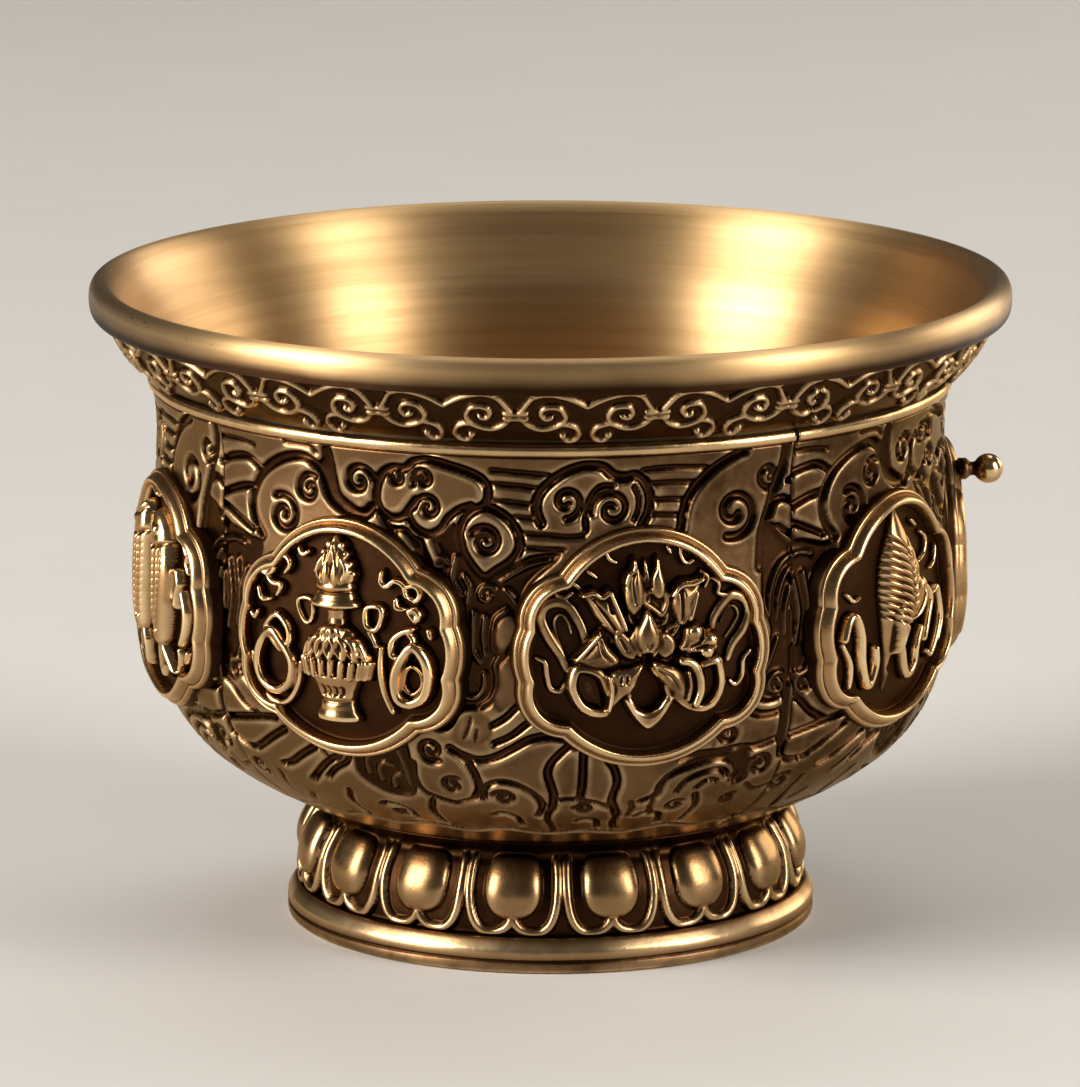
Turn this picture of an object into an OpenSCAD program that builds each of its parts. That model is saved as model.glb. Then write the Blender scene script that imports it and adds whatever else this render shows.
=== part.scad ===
// Water offering bowl with eight medallions and a lotus foot.
// The axis is Z, the table is z = 0 and the seen side faces -Y.
// Azimuths count from -Y towards +X.

/* [Bowl] */
// Outer diameter of the rolled lip
rim_d = 80; // [74:0.5:88]
// Height from the table to the top of the lip
bowl_h = 56.4; // [52:0.2:62]
// How far the lip stands outside the widest part of the wall
rim_flare = 5.2; // [4.4:0.1:6]
// Thickness of the wall panels and of the scroll band
wall_t = 1; // [0.7:0.05:1.3]
// Thickness of the inner bowl
liner_t = 0.8; // [0.5:0.05:1.1]
// Solder-filled gap between two pieces
solder_gap = 0.05; // [0.02:0.01:0.08]
// Azimuth of the first wall seam
seam_az = 36; // [30:1:42]

/* [Lip, band and bead] */
// Height of the lip
lip_h = 3.1; // [2.4:0.1:3.8]
// Width of the lip on top
lip_w = 2.3; // [1.9:0.1:2.7]
// Height of the scroll band
band_h = 4.9; // [4:0.1:6]
// Height of the half-round bead ring
bead_h = 1.2; // [0.8:0.1:1.6]
// How far the bead ring's centre lies inside the wall's top edge
bead_inset = 0.2; // [0:0.05:0.3]
// Width of the butt joint in the bead ring
bead_joint = 0.3; // [0.1:0.05:0.5]
// Number of scroll motifs round the band
motif_n = 20; // [12:1:24]
// Azimuth of the dip in the first motif
motif_az = 4.5; // [0:0.5:18]
// How far the scrolls stand out of the band
scroll_rise = 0.45; // [0.2:0.05:0.7]
// Width of the scroll lines
scroll_w = 0.5; // [0.3:0.05:0.7]

/* [Wall ornament] */
// How deep the ornament is cut into the wall
carve_depth = 0.5; // [0.3:0.05:0.7]
// Width of the cut lines and curls
curl_w = 0.55; // [0.4:0.05:0.8]
// Clear strip left between the ornament and a medallion
curl_clear = 0.3; // [0.2:0.05:0.6]

/* [Medallions] */
// Angle round the axis that a medallion takes up
medallion_span = 36.8; // [31:0.1:40]
// Height of a medallion
medallion_h = 20.8; // [19:0.1:22]
// Azimuth of the first medallion
medallion_az = -72.4; // [-76:0.2:-68]
// Width of the medallion frame
frame_w = 1.5; // [1.1:0.05:1.9]
// How far the frame stands out of the wall
frame_rise = 1.5; // [1.1:0.05:1.9]
// Width of the low outer step of the frame
step_w = 0.5; // [0.3:0.05:0.7]
// How far the outer step lies below the frame's top
step_drop = 0.5; // [0.2:0.05:0.8]
// Thickness of the sunk ground
ground_t = 0.3; // [0.2:0.05:0.5]
// How far the emblems stand out of the ground
emblem_rise = 1.3; // [0.8:0.05:1.6]
// Width of the ribbons in the emblems
ribbon_w = 0.8; // [0.5:0.05:1]

/* [Side pearl] */
// Diameter of the pearl
pearl_d = 2.6; // [2:0.1:3.2]
// Diameter of its peg
peg_d = 1.1; // [0.8:0.05:1.4]
// Length of the peg from the frame to the pearl
peg_l = 0.8; // [0.4:0.1:1.4]

/* [Foot] */
// How far the base ring stands outside the neck
foot_flare = 3.1; // [2.6:0.1:3.8]
// Height of the base ring
ring_h = 3; // [2.4:0.1:3.6]
// Radial width of the base ring
ring_w = 2.6; // [2.3:0.1:3.2]
// Height of the grooved line round the base ring
line_z = 1.1; // [0.8:0.05:1.6]
// Depth of the grooved line
line_d = 0.15; // [0.05:0.05:0.3]
// Height of the neck's narrowest place above the table
foot_h = 9.4; // [8.6:0.1:10.6]
// Diameter of the neck's narrowest place
neck_d = 40; // [38:0.2:41]
// Height of the collar above the neck
collar_h = 1.8; // [1.4:0.1:2.4]
// How far the wall's lower edge stands outside the neck
collar_flare = 2; // [1.6:0.1:2.6]
// Thickness of the foot's drum
drum_t = 1.2; // [0.9:0.05:1.4]
// Diameter of the hole in the seat under the bowl
seat_d = 28; // [20:1:32]
// Height of the bowl's flat underside above the wall's lower edge
floor_rise = 0.2; // [0.1:0.05:0.4]
// Number of petals
petal_n = 16; // [12:1:18]
// Azimuth of the first petal
petal_az = -8.6; // [-22:0.2:22]
// Width of a petal
petal_w = 6.6; // [5.6:0.1:7]
// How far a petal's rim stands out of the drum
petal_rise = 0.4; // [0.2:0.05:0.6]
// How far a petal's boss stands out of the drum
boss_rise = 0.8; // [0.5:0.05:1]

/* [Hidden] */
$fn = 64;

rim_r = rim_d / 2;
wall_r = rim_r - rim_flare;
neck_r = neck_d / 2;
foot_r = neck_r + foot_flare;
collar_r = neck_r + collar_flare;
half_gap = solder_gap / 2;
quarter = 90;
// Angle of a solder gap at the wall's radius
gap_angle = solder_gap / wall_r * 180 / PI;
// Angle of the ring's butt joint
joint_angle = bead_joint / wall_r * 180 / PI;
// One overrun for all cuts
cut = 1;

z_lip = bowl_h - lip_h;
z_band = z_lip - band_h;
z_bead = z_band - bead_h;
z_collar = foot_h + collar_h;
z_floor = z_collar + floor_rise;

// The gaps between the medallions as shares of the angle that is left free;
// the seen ones are closer together
gap_shares = [0.089, 0.089, 0.107, 0.143, 0.143, 0.143, 0.143, 0.143];
medallion_n = len(gap_shares);
medallion_free = 360 - medallion_n * medallion_span;
function sum_to(list, n) = n == 0 ? 0 : list[n - 1] + sum_to(list, n - 1);
function azimuth_of(k) =
    medallion_az + k * medallion_span + medallion_free * sum_to(gap_shares, k);
fish_az = azimuth_of(0);
vase_az = azimuth_of(1);
lotus_az = azimuth_of(2);
conch_az = azimuth_of(3);
knot_az = azimuth_of(4);
banner_az = azimuth_of(5);
wheel_az = azimuth_of(6);
parasol_az = azimuth_of(7);

medallion_w = 2 * wall_r * sin(medallion_span / 2);
// Part of the wall's free height that lies below the medallions
lift_share = 0.618;
medallion_lift = (z_bead - z_collar - medallion_h) * lift_share;
medallion_z = z_collar + medallion_lift + medallion_h / 2;

// Outline of the wall as shares of the way from the collar to the widest
// radius and from the collar to the bead ring
wall_shares = [
    [0, 0], [0.12, 0.018], [0.234, 0.039], [0.375, 0.067], [0.539, 0.106], [0.68, 0.147],
    [0.813, 0.206], [0.906, 0.272], [0.969, 0.356], [1, 0.467], [1, 0.578],
    [0.984, 0.689], [0.961, 0.8], [0.953, 0.925], [0.984, 1]
];
// Outline of the band as shares of the way from the wall to the rim and of
// the band's height
band_shares = [[0.13, 0], [0.27, 0.16], [0.38, 0.33], [0.53, 0.55], [0.69, 0.86], [0.8, 1]];
// Outline of the lip as shares of its width and height, from its underside
// outwards and over the top
lip_shares = [
    [0.7, 0], [0.88, 0.1], [0.97, 0.28], [1, 0.5], [0.97, 0.72], [0.86, 0.9],
    [0.65, 1], [0.35, 0.99], [0.13, 0.9], [0, 0.72]
];
// Outline of the drum as shares of the way from the neck to the foot's
// radius and from the ring to the neck
drum_shares = [[0.58, 0], [0.58, 0.23], [0.45, 0.6], [0.16, 0.88], [0, 1]];
// Outline of the collar as shares of the way from the neck to the collar
collar_shares = [[0.03, 0.38], [0.42, 0.74]];

wall_path = [
    for (s = wall_shares)
        [collar_r + (wall_r - collar_r) * s[0], z_collar + (z_bead - z_collar) * s[1]]
];
band_path = [
    for (s = band_shares) [wall_r + (rim_r - wall_r) * s[0], z_band + band_h * s[1]]
];
skin_path = concat(wall_path, band_path);
lip_path = [for (s = lip_shares) [rim_r - lip_w * (1 - s[0]), z_lip + lip_h * s[1]]];
drum_path = [
    for (s = drum_shares)
        [neck_r + (foot_r - neck_r) * s[0], ring_h + (foot_h - ring_h) * s[1]]
];

function reversed(p) = [for (i = [len(p) - 1:-1:0]) p[i]];
function last(p) = p[len(p) - 1];
// Outward normal of a path that climbs, at its point i
function normal_at(p, i) =
    let (
        a = p[max(i - 1, 0)],
        b = p[min(i + 1, len(p) - 1)],
        t = (b - a) / norm(b - a)
    )
    [t[1], -t[0]];
function offset_path(p, d) = [for (i = [0:len(p) - 1]) p[i] + d * normal_at(p, i)];
// A path moved away from the axis
function shifted_path(p, d) = [for (q = p) [q[0] + d, q[1]]];
function ribbon(p, lo, hi) = concat(offset_path(p, hi), reversed(offset_path(p, lo)));

module slice_2d(z0, z1) {
    translate([0, z0]) square([rim_d, z1 - z0]);
}

// Turns the region from one azimuth to the next
module sector(az0, az1) {
    rotate([0, 0, az0 - 90]) rotate_extrude(angle = az1 - az0) children();
}

// Places a flat drawing's axes on the wall: X along it, Y up and Z outwards
module on_wall(az, z) {
    rotate([0, 0, az]) translate([0, 0, z]) rotate([90, 0, 0]) children();
}

// Pushes a flat drawing outwards through the wall, from radius r0
module stamp(az, z, r0) {
    on_wall(az, z) translate([0, 0, r0]) linear_extrude(rim_r - r0 + cut) children();
}

// Keeps what the stamps have in a shell round a path, from lo to hi
module shell_of(p, az0, az1, lo, hi) {
    intersection() {
        sector(az0, az1) polygon(concat(shifted_path(p, hi), reversed(shifted_path(p, lo))));
        union() children();
    }
}

// Half of the angle that a medallion's shell spans, as a share of the
// medallion's own angle
spread_share = 0.7;
medallion_spread = medallion_span * spread_share;

module raised(az, lo, hi) {
    shell_of(wall_path, az - medallion_spread, az + medallion_spread, lo, hi)
        stamp(az, medallion_z, neck_r) children();
}

// A disc, or nothing where an inset has used it up
module disc(r) {
    if (r > 0) circle(r);
}

module ring_2d(r, w) {
    difference() {
        disc(r);
        disc(r - w);
    }
}

// Pointed leaf shape, centred
module leaf_2d(w, h) {
    r = (pow(h / 2, 2) + pow(w / 2, 2)) / w;
    intersection() {
        translate([w / 2 - r, 0]) circle(r);
        translate([r - w / 2, 0]) circle(r);
    }
}

// Inner bowl with its lip

liner_out = offset_path(skin_path, -wall_t - solder_gap);
liner_in = offset_path(skin_path, -wall_t - solder_gap - liner_t);
// Radius where the flat floor starts to turn up, as a share of the neck's
floor_bend_share = 0.96;

module liner_bowl() {
    color("goldenrod") rotate_extrude() polygon(concat(
        [[0, z_floor], [neck_r * floor_bend_share, z_floor]],
        liner_out,
        [[last(skin_path)[0], z_lip]],
        lip_path,
        reversed(liner_in),
        [[neck_r * floor_bend_share, z_floor + liner_t], [0, z_floor + liner_t]]
    ));
}

// Wall panels

// Outlines of the sunk grounds of one quarter: azimuth from its left seam as a
// share of the quarter and height as a share of the wall's
ground_shares = [
    [[0.327, 0.844], [0.347, 0.825], [0.371, 0.822], [0.384, 0.806], [0.411, 0.796], [0.449, 0.839],
     [0.457, 0.783], [0.476, 0.731], [0.498, 0.708], [0.553, 0.758], [0.582, 0.772], [0.613, 0.769],
     [0.567, 0.7], [0.538, 0.539], [0.522, 0.5], [0.518, 0.444], [0.5, 0.408], [0.462, 0.4],
     [0.442, 0.359], [0.416, 0.361], [0.438, 0.556], [0.422, 0.65]],
    [[0.947, 0.794], [0.962, 0.817], [1.004, 0.75], [1.029, 0.693], [1.007, 0.478], [0.993, 0.422],
     [0.958, 0.394], [0.924, 0.422], [0.938, 0.5], [0.958, 0.561], [0.942, 0.644]],
    [[-0.007, 0.756], [0.029, 0.767], [0.1, 0.744], [0.064, 0.55], [0.084, 0.389], [0.056, 0.417],
     [0.029, 0.4], [-0.007, 0.45]],
    [[0.227, 0.992], [0.241, 0.992], [0.256, 0.889], [0.296, 0.856], [0.311, 0.875], [0.32, 0.861],
     [0.3, 0.833], [0.267, 0.844], [0.244, 0.867], [0.216, 0.944]],
    [[0.273, 0.267], [0.3, 0.289], [0.34, 0.297], [0.364, 0.317], [0.371, 0.261], [0.371, 0.194],
     [0.351, 0.161], [0.307, 0.167], [0.269, 0.211]],
    [[0.804, 0.268], [0.838, 0.286], [0.9, 0.276], [0.927, 0.278], [0.94, 0.2], [0.918, 0.189],
     [0.921, 0.228], [0.907, 0.258], [0.876, 0.268]]
];
// Middle lines of the main grooves, written in the same way
groove_shares = [
    [[0.102, 0.761], [0.084, 0.794], [0.077, 0.836], [0.083, 0.875], [0.1, 0.911], [0.126, 0.939],
     [0.158, 0.958], [0.19, 0.964], [0.212, 0.947], [0.236, 0.883], [0.251, 0.861], [0.272, 0.847],
     [0.3, 0.844]],
    [[0.329, 0.856], [0.32, 0.881], [0.322, 0.919], [0.333, 0.947], [0.351, 0.961], [0.371, 0.961],
     [0.384, 0.978], [0.409, 0.986], [0.473, 0.961], [0.493, 0.944], [0.502, 0.919], [0.499, 0.892],
     [0.467, 0.867]],
    [[0.329, 0.856], [0.347, 0.842], [0.364, 0.847], [0.387, 0.889]],
    [[0.373, 0.853], [0.386, 0.825], [0.407, 0.811], [0.427, 0.825], [0.438, 0.85], [0.456, 0.872],
     [0.476, 0.883]],
    [[0.457, 0.817], [0.464, 0.85], [0.48, 0.872], [0.5, 0.881], [0.52, 0.869], [0.538, 0.847],
     [0.549, 0.819], [0.551, 0.786], [0.54, 0.758], [0.497, 0.717], [0.478, 0.742], [0.462, 0.778]],
    [[0.584, 0.844], [0.578, 0.872], [0.579, 0.903], [0.591, 0.931], [0.629, 0.969], [0.656, 0.981],
     [0.68, 0.975], [0.696, 0.956], [0.731, 0.953], [0.747, 0.933], [0.754, 0.9], [0.751, 0.864],
     [0.742, 0.839]],
    [[0.804, 0.822], [0.818, 0.897], [0.836, 0.931], [0.86, 0.961], [0.909, 0.994]],
    [[0.986, 0.994], [0.978, 0.929], [0.946, 0.808], [0.938, 0.717]],
    [[0.44, 0.306], [0.484, 0.278], [0.511, 0.286], [0.567, 0.333], [0.602, 0.344], [0.627, 0.336],
     [0.638, 0.319]],
    [[0.636, 0.328], [0.6, 0.276], [0.594, 0.244], [0.604, 0.181], [0.602, 0.143]],
    [[0.651, 0.317], [0.649, 0.169]],
    [[0.691, 0.278], [0.702, 0.253], [0.709, 0.217], [0.706, 0.158], [0.72, 0.117]],
    [[0.451, 0.294], [0.467, 0.268], [0.478, 0.233], [0.48, 0.197], [0.471, 0.172]],
    [[0.756, 0.161], [0.78, 0.178], [0.784, 0.209], [0.802, 0.236], [0.838, 0.256], [0.88, 0.264],
     [0.907, 0.25], [0.917, 0.225], [0.911, 0.202]],
    [[0.916, 0.386], [0.938, 0.367], [0.967, 0.364], [0.984, 0.372]],
    [[0.987, 0.422], [0.987, 0.317], [0.993, 0.256]],
    [[0.056, 0.233], [0.14, 0.303]],
    [[0.107, 0.202], [0.131, 0.214], [0.196, 0.268]],
    [[0.16, 0.172], [0.233, 0.25], [0.256, 0.258]]
];
// Curls: the same two shares, and the radius as a share of the wall's radius
curl_shares = [
    [0.197, 0.889, 0.043], [0.146, 0.819, 0.057], [0.29, 0.921, 0.049], [0.407, 0.872, 0.04],
    [0.498, 0.804, 0.046], [0.623, 0.894, 0.047], [0.694, 0.875, 0.055], [0.894, 0.853, 0.069],
    [0.957, 0.931, 0.042], [0.409, 0.297, 0.042], [0.52, 0.175, 0.036], [0.889, 0.325, 0.036],
    [0.958, 0.231, 0.045], [0.033, 0.172, 0.039]
];
// Depths of the grooves and of the curls as shares of the grounds'
groove_depth_share = 0.9;
curl_depth_share = 0.8;
wall_h = z_bead - z_collar;

function middle_of(list) = (max([for (p = list) p[0]]) + min([for (p = list) p[0]])) / 2;
// A drawn line or outline of the quarter, laid flat at the azimuth of its middle
function laid_flat(list) =
    let (c = middle_of(list))
    [for (p = list) [wall_r * sin(quarter * (p[0] - c)), wall_h * p[1]]];

module drawn(az0, list) {
    stamp(az0 + quarter * middle_of(list), z_collar, neck_r) children();
}

module grounds(az0) {
    for (g = ground_shares) drawn(az0, g) polygon(laid_flat(g));
}

module grooves(az0) {
    for (g = groove_shares)
        drawn(az0, g) polygon(ribbon(laid_flat(g), -curl_w / 2, curl_w / 2));
}

module curls(az0) {
    for (s = curl_shares)
        stamp(az0 + quarter * s[0], z_collar + wall_h * s[1], neck_r)
            ring_2d(wall_r * s[2], curl_w);
}

// What the drawings take out of the quarter's wall, clear of the medallions
module carved(az0, depth) {
    difference() {
        shell_of(wall_path, az0, az0 + quarter, -depth, cut) children();
        for (k = [0:medallion_n - 1])
            stamp(azimuth_of(k), medallion_z, neck_r) medallion_2d(-curl_clear);
    }
}

module wall_panel(i) {
    az0 = seam_az + quarter * (i - 2);
    color("peru") difference() {
        sector(az0 + gap_angle / 2, az0 + quarter - gap_angle / 2)
            intersection() {
                polygon(ribbon(skin_path, -wall_t, 0));
                slice_2d(z_collar - collar_h, z_bead - half_gap);
            }
        carved(az0, carve_depth) grounds(az0);
        carved(az0, carve_depth * groove_depth_share) grooves(az0);
        carved(az0, carve_depth * curl_depth_share) curls(az0);
    }
}

// Scroll band and bead ring

// Radius and height of a scroll as shares of the band's height, and its
// distance from the motif's dip as a share of the motif's pitch
scroll_r_share = 0.3;
scroll_z_share = 0.58;
scroll_az_share = 0.27;
// Radius of a scroll's eye as a share of the scroll's
eye_share = 0.3;

module curl_2d(r, w) {
    ring_2d(r, w);
    disc(r * eye_share);
}

module scroll_band() {
    pitch = 360 / motif_n;
    color("sienna") {
        sector(seam_az + gap_angle / 2, seam_az + 360 - gap_angle / 2)
            intersection() {
                polygon(ribbon(skin_path, -wall_t, 0));
                slice_2d(z_band + half_gap, z_lip - half_gap);
            }
        shell_of(
            band_path, seam_az + gap_angle / 2, seam_az + 360 - gap_angle / 2,
            -wall_t / 2, scroll_rise
        )
            for (k = [0:motif_n - 1], side = [-1, 1])
                stamp(
                    motif_az + pitch * (k + side * scroll_az_share),
                    z_band + band_h * scroll_z_share, collar_r
                ) curl_2d(band_h * scroll_r_share, scroll_w);
    }
}

module bead_ring() {
    back = offset_path(skin_path, -wall_t);
    n = len(wall_path);
    centre_r = last(wall_path)[0] - bead_inset;
    color("gold") sector(seam_az + joint_angle / 2, seam_az + 360 - joint_angle / 2)
        intersection() {
            union() {
                translate([centre_r, z_bead + bead_h / 2]) circle(bead_h / 2 - half_gap);
                polygon([
                    back[n - 1], [centre_r, z_bead], [centre_r, z_band], back[n]
                ]);
            }
            slice_2d(z_bead + half_gap, z_band - half_gap);
            polygon(ribbon(skin_path, -wall_t, bead_h));
        }
}

// Medallions

// The lobes of the frame: place and radius as shares of half the width, half
// the height and half the height
lobe_shares = [
    [0, 0.16, 0.83], [0, -0.03, 0.95], [0.565, 0.23, 0.41], [0.47, -0.04, 0.56], [0.6, -0.32, 0.39]
];

module medallion_2d(inset) {
    half_w = medallion_w / 2;
    half_h = medallion_h / 2;
    for (s = lobe_shares, side = [-1, 1])
        translate([side * half_w * s[0], half_h * s[1]]) disc(half_h * s[2] - inset);
}

module medallion(az) {
    color("burlywood") difference() {
        raised(az, solder_gap, frame_rise) medallion_2d(0);
        raised(az, frame_rise - step_drop, frame_rise + cut) difference() {
            medallion_2d(-cut);
            medallion_2d(step_w);
        }
        raised(az, solder_gap + ground_t, frame_rise + cut) medallion_2d(frame_w);
    }
}

// Emblems

// Height of an emblem as a share of the ground inside the frame, and the
// rise of its low face as a share of its whole rise
emblem_share = 0.86;
low_face_share = 0.5;
emblem_r = (medallion_h / 2 - frame_w) * emblem_share;
// Offsets of an emblem's back and of its low and high faces from the wall
emblem_lo = ground_t + 2 * solder_gap;
emblem_mid = emblem_lo + emblem_rise * low_face_share;
emblem_hi = emblem_lo + emblem_rise;

function em(share) = emblem_r * share;

module emblem_layer(az, hi) {
    raised(az, emblem_lo, hi) children();
}

// All that lies inside the wall's surface moved out by lo
module inside(az, lo) {
    sector(az - medallion_spread, az + medallion_spread)
        polygon(concat([[0, z_collar]], shifted_path(wall_path, lo), [[0, z_bead]]));
}

// Part of a solid turned about an upright axis that stands out of the
// ground by the emblem's rise, on a plate of the same outline
module turned(az, shares) {
    outline = [for (s = shares) [em(s[0]), em(s[1])]];
    widest = max([for (p = outline) p[0]]);
    difference() {
        rotate([0, 0, az]) translate([0, widest - wall_r - emblem_hi, medallion_z])
            rotate_extrude() polygon(outline);
        inside(az, emblem_lo);
    }
    emblem_layer(az, emblem_mid) {
        polygon(outline);
        mirror([1, 0]) polygon(outline);
    }
}

// Pairs of leaves left and right, each given by its place, turn, width and
// height; lengths are shares of the emblem's size
module leaves(shares) {
    for (s = shares, side = [-1, 1])
        translate([side * em(s[0]), em(s[1])]) rotate(side * s[2]) leaf_2d(em(s[3]), em(s[4]));
}

// Pairs of ribbon loops, each given by its place and radius
module loops(shares) {
    for (s = shares, side = [-1, 1])
        translate([side * em(s[0]), em(s[1])]) ring_2d(em(s[2]), ribbon_w);
}

fish_body_shares = [[0.32, 0.12, 8, 0.52, 1.5]];
fish_fin_shares = [
    [0.3, -0.72, -12, 0.34, 0.6], [0.5, -0.7, 38, 0.24, 0.56], [0.62, 0.1, 30, 0.2, 0.5]
];
fish_middle_share = 0.34;

module emblem_fish() {
    color("khaki") {
        emblem_layer(fish_az, emblem_hi) leaves(fish_body_shares);
        emblem_layer(fish_az, emblem_mid) {
            leaves(fish_fin_shares);
            circle(em(fish_middle_share));
        }
    }
}

vase_shares = [
    [0, 1], [0.12, 0.92], [0.2, 0.7], [0.24, 0.55], [0.3, 0.5], [0.3, 0.4], [0.14, 0.35],
    [0.12, 0.14], [0.34, 0.08], [0.46, -0.04], [0.46, -0.16], [0.32, -0.24], [0.28, -0.45],
    [0.2, -0.62], [0.3, -0.82], [0.3, -0.88], [0, -0.88]
];
vase_scrap_shares = [[0.6, 0.24, -12, 0.24, 0.8]];
vase_loop_shares = [[0.68, -0.3, 0.27]];
vase_middle_shares = [0.5, -0.1];

module emblem_vase() {
    color("khaki") {
        turned(vase_az, vase_shares);
        emblem_layer(vase_az, emblem_mid) {
            translate([0, em(vase_middle_shares[1])]) circle(em(vase_middle_shares[0]));
            leaves(vase_scrap_shares);
            loops(vase_loop_shares);
        }
    }
}

lotus_petal_shares = [
    [0, -0.42, 0, 0.42, 0.86], [0.42, -0.25, 55, 0.42, 0.86], [0.36, 0.2, 118, 0.42, 0.86],
    [0, 0.42, 180, 0.42, 0.86]
];
lotus_bud_shares = [[0, 0.05, 0, 0.24, 0.5], [0.34, -0.06, 75, 0.2, 0.5]];
lotus_loop_shares = [[0.8, 0.08, 0.22]];
lotus_middle_share = 0.3;

module emblem_lotus() {
    color("khaki") {
        emblem_layer(lotus_az, emblem_mid) {
            leaves(lotus_petal_shares);
            loops(lotus_loop_shares);
            circle(em(lotus_middle_share));
        }
        emblem_layer(lotus_az, emblem_hi) leaves(lotus_bud_shares);
    }
}

conch_shares = [
    [0, 1], [0.1, 0.9], [0.12, 0.8], [0.22, 0.74], [0.24, 0.62], [0.34, 0.55], [0.36, 0.42],
    [0.46, 0.34], [0.46, 0.12], [0.36, -0.15], [0.2, -0.55], [0.1, -0.92], [0, -0.95]
];
conch_loop_shares = [[0.5, -0.35, 0.27]];

module emblem_conch() {
    color("khaki") {
        turned(conch_az, conch_shares);
        emblem_layer(conch_az, emblem_mid) loops(conch_loop_shares);
    }
}

// Spacing and length of the knot's bars, and place and radius of its outer
// loops along the bars and between them
knot_bar_shares = [0.4, 1.25];
knot_loop_shares = [[0, 0.66, 0.24], [45, 0.62, 0.22]];

module emblem_knot() {
    bar_w = ribbon_w / 2;
    bar_l = em(knot_bar_shares[1]);
    color("khaki") {
        emblem_layer(knot_az, emblem_hi) rotate(45)
            for (k = [-1, 0, 1]) {
                place = k * em(knot_bar_shares[0]);
                translate([0, place]) square([bar_l, bar_w], center = true);
                translate([place, 0]) square([bar_w, bar_l], center = true);
            }
        emblem_layer(knot_az, emblem_mid)
            for (s = knot_loop_shares, a = [0:90:270])
                rotate(a + s[0]) translate([0, em(s[1])]) ring_2d(em(s[2]), bar_w);
    }
}

banner_shares = [
    [0, 1], [0.08, 0.95], [0.08, 0.82], [0.34, 0.66], [0.44, 0.5], [0.4, 0.44], [0.36, 0.36],
    [0.44, 0.14], [0.36, 0.08], [0.44, -0.16], [0.36, -0.22], [0.46, -0.52], [0.4, -0.6],
    [0.12, -0.62], [0.1, -0.92], [0, -0.95]
];
banner_loop_shares = [[0.64, -0.1, 0.26]];

module emblem_banner() {
    color("khaki") {
        turned(banner_az, banner_shares);
        emblem_layer(banner_az, emblem_mid) loops(banner_loop_shares);
    }
}

spoke_n = 8;
// Outer radius and width of the wheel's rim and radius of its hub
wheel_shares = [0.76, 0.16, 0.2];
// Place, width and length of a spoke, and place and radius of its knob
spoke_shares = [0.4, 0.16, 0.72, 0.82, 0.11];

module emblem_wheel() {
    color("khaki") {
        emblem_layer(wheel_az, emblem_hi) {
            ring_2d(em(wheel_shares[0]), em(wheel_shares[1]));
            circle(em(wheel_shares[2]));
        }
        emblem_layer(wheel_az, emblem_mid)
            for (k = [0:spoke_n - 1]) rotate(k * 360 / spoke_n) {
                translate([0, em(spoke_shares[0])])
                    leaf_2d(em(spoke_shares[1]), em(spoke_shares[2]));
                translate([0, em(spoke_shares[3])]) circle(em(spoke_shares[4]));
            }
    }
}

parasol_shares = [
    [0, 1], [0.08, 0.94], [0.1, 0.8], [0.36, 0.66], [0.6, 0.42], [0.64, 0.3], [0.56, 0.26],
    [0.54, -0.06], [0.48, -0.1], [0.08, -0.06], [0.07, -0.9], [0, -0.95]
];
parasol_loop_shares = [[0.3, -0.45, 0.26]];

module emblem_parasol() {
    color("khaki") {
        turned(parasol_az, parasol_shares);
        emblem_layer(parasol_az, emblem_mid) loops(parasol_loop_shares);
    }
}

// Side pearl on the knot medallion's frame

// Angle from upright of the place on the frame's top lobe that holds the peg
pearl_turn = -38.5;

module side_pearl() {
    lobe = lobe_shares[0];
    reach = medallion_h / 2 * lobe[2] - (frame_w + step_w) / 2;
    x = sin(pearl_turn) * reach;
    y = medallion_h / 2 * lobe[1] + cos(pearl_turn) * reach;
    az = knot_az + asin(x / wall_r);
    base_r = wall_r + frame_rise + solder_gap;
    color("khaki") difference() {
        on_wall(az, medallion_z + y) {
            translate([0, 0, wall_r])
                cylinder(h = base_r - wall_r + peg_l + pearl_d / 2, d = peg_d);
            translate([0, 0, base_r + peg_l + pearl_d / 2]) sphere(d = pearl_d);
        }
        inside(az, frame_rise + solder_gap);
    }
}

// Foot

petal_h = foot_h - ring_h;
// How far the rim and the boss of a petal start above the base ring, and
// the boss's width, as shares of the petal's height and width
rim_lift_share = 0.06;
boss_lift_share = 0.2;
boss_w_share = 0.62;
// Radius from which the petals are pushed out, as a share of the neck's
petal_root_share = 0.85;
// Depth of the seat as a share of the collar's height
seat_depth_share = 0.8;

// Two round lobes below and straight sides above
module petal_2d(w, h, drop) {
    for (side = [-1, 1]) translate([side * w / 4, drop + w / 4]) circle(w / 4);
    translate([-w / 2, drop + w / 4]) square([w, h - w / 4]);
}

module petals(rise) {
    shell_of(drum_path, 0, 360, -drum_t / 2, rise)
        for (k = [0:petal_n - 1])
            stamp(petal_az + k * 360 / petal_n, ring_h, neck_r * petal_root_share)
                children();
}

module foot_drum() {
    drum_in = offset_path(drum_path, -drum_t);
    collar_path = [
        for (s = collar_shares)
            [neck_r + (collar_r - neck_r) * s[0], foot_h + collar_h * s[1]]
    ];
    edge = offset_path(skin_path, -wall_t)[0];
    color("darkgoldenrod") {
        rotate_extrude() difference() {
            polygon(concat(
                drum_path,
                collar_path,
                [
                    wall_path[0] - [solder_gap, 0],
                    edge - [solder_gap, 0],
                    [neck_r * floor_bend_share, z_floor - solder_gap],
                    [seat_d / 2, z_floor - solder_gap],
                    [seat_d / 2, z_collar - collar_h * seat_depth_share],
                    [neck_r - drum_t, foot_h]
                ],
                reversed(drum_in)
            ));
            slice_2d(0, ring_h + solder_gap);
        }
        petals(petal_rise) petal_2d(petal_w, petal_h, petal_h * rim_lift_share);
        petals(boss_rise)
            petal_2d(petal_w * boss_w_share, petal_h, petal_h * boss_lift_share);
    }
}

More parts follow.
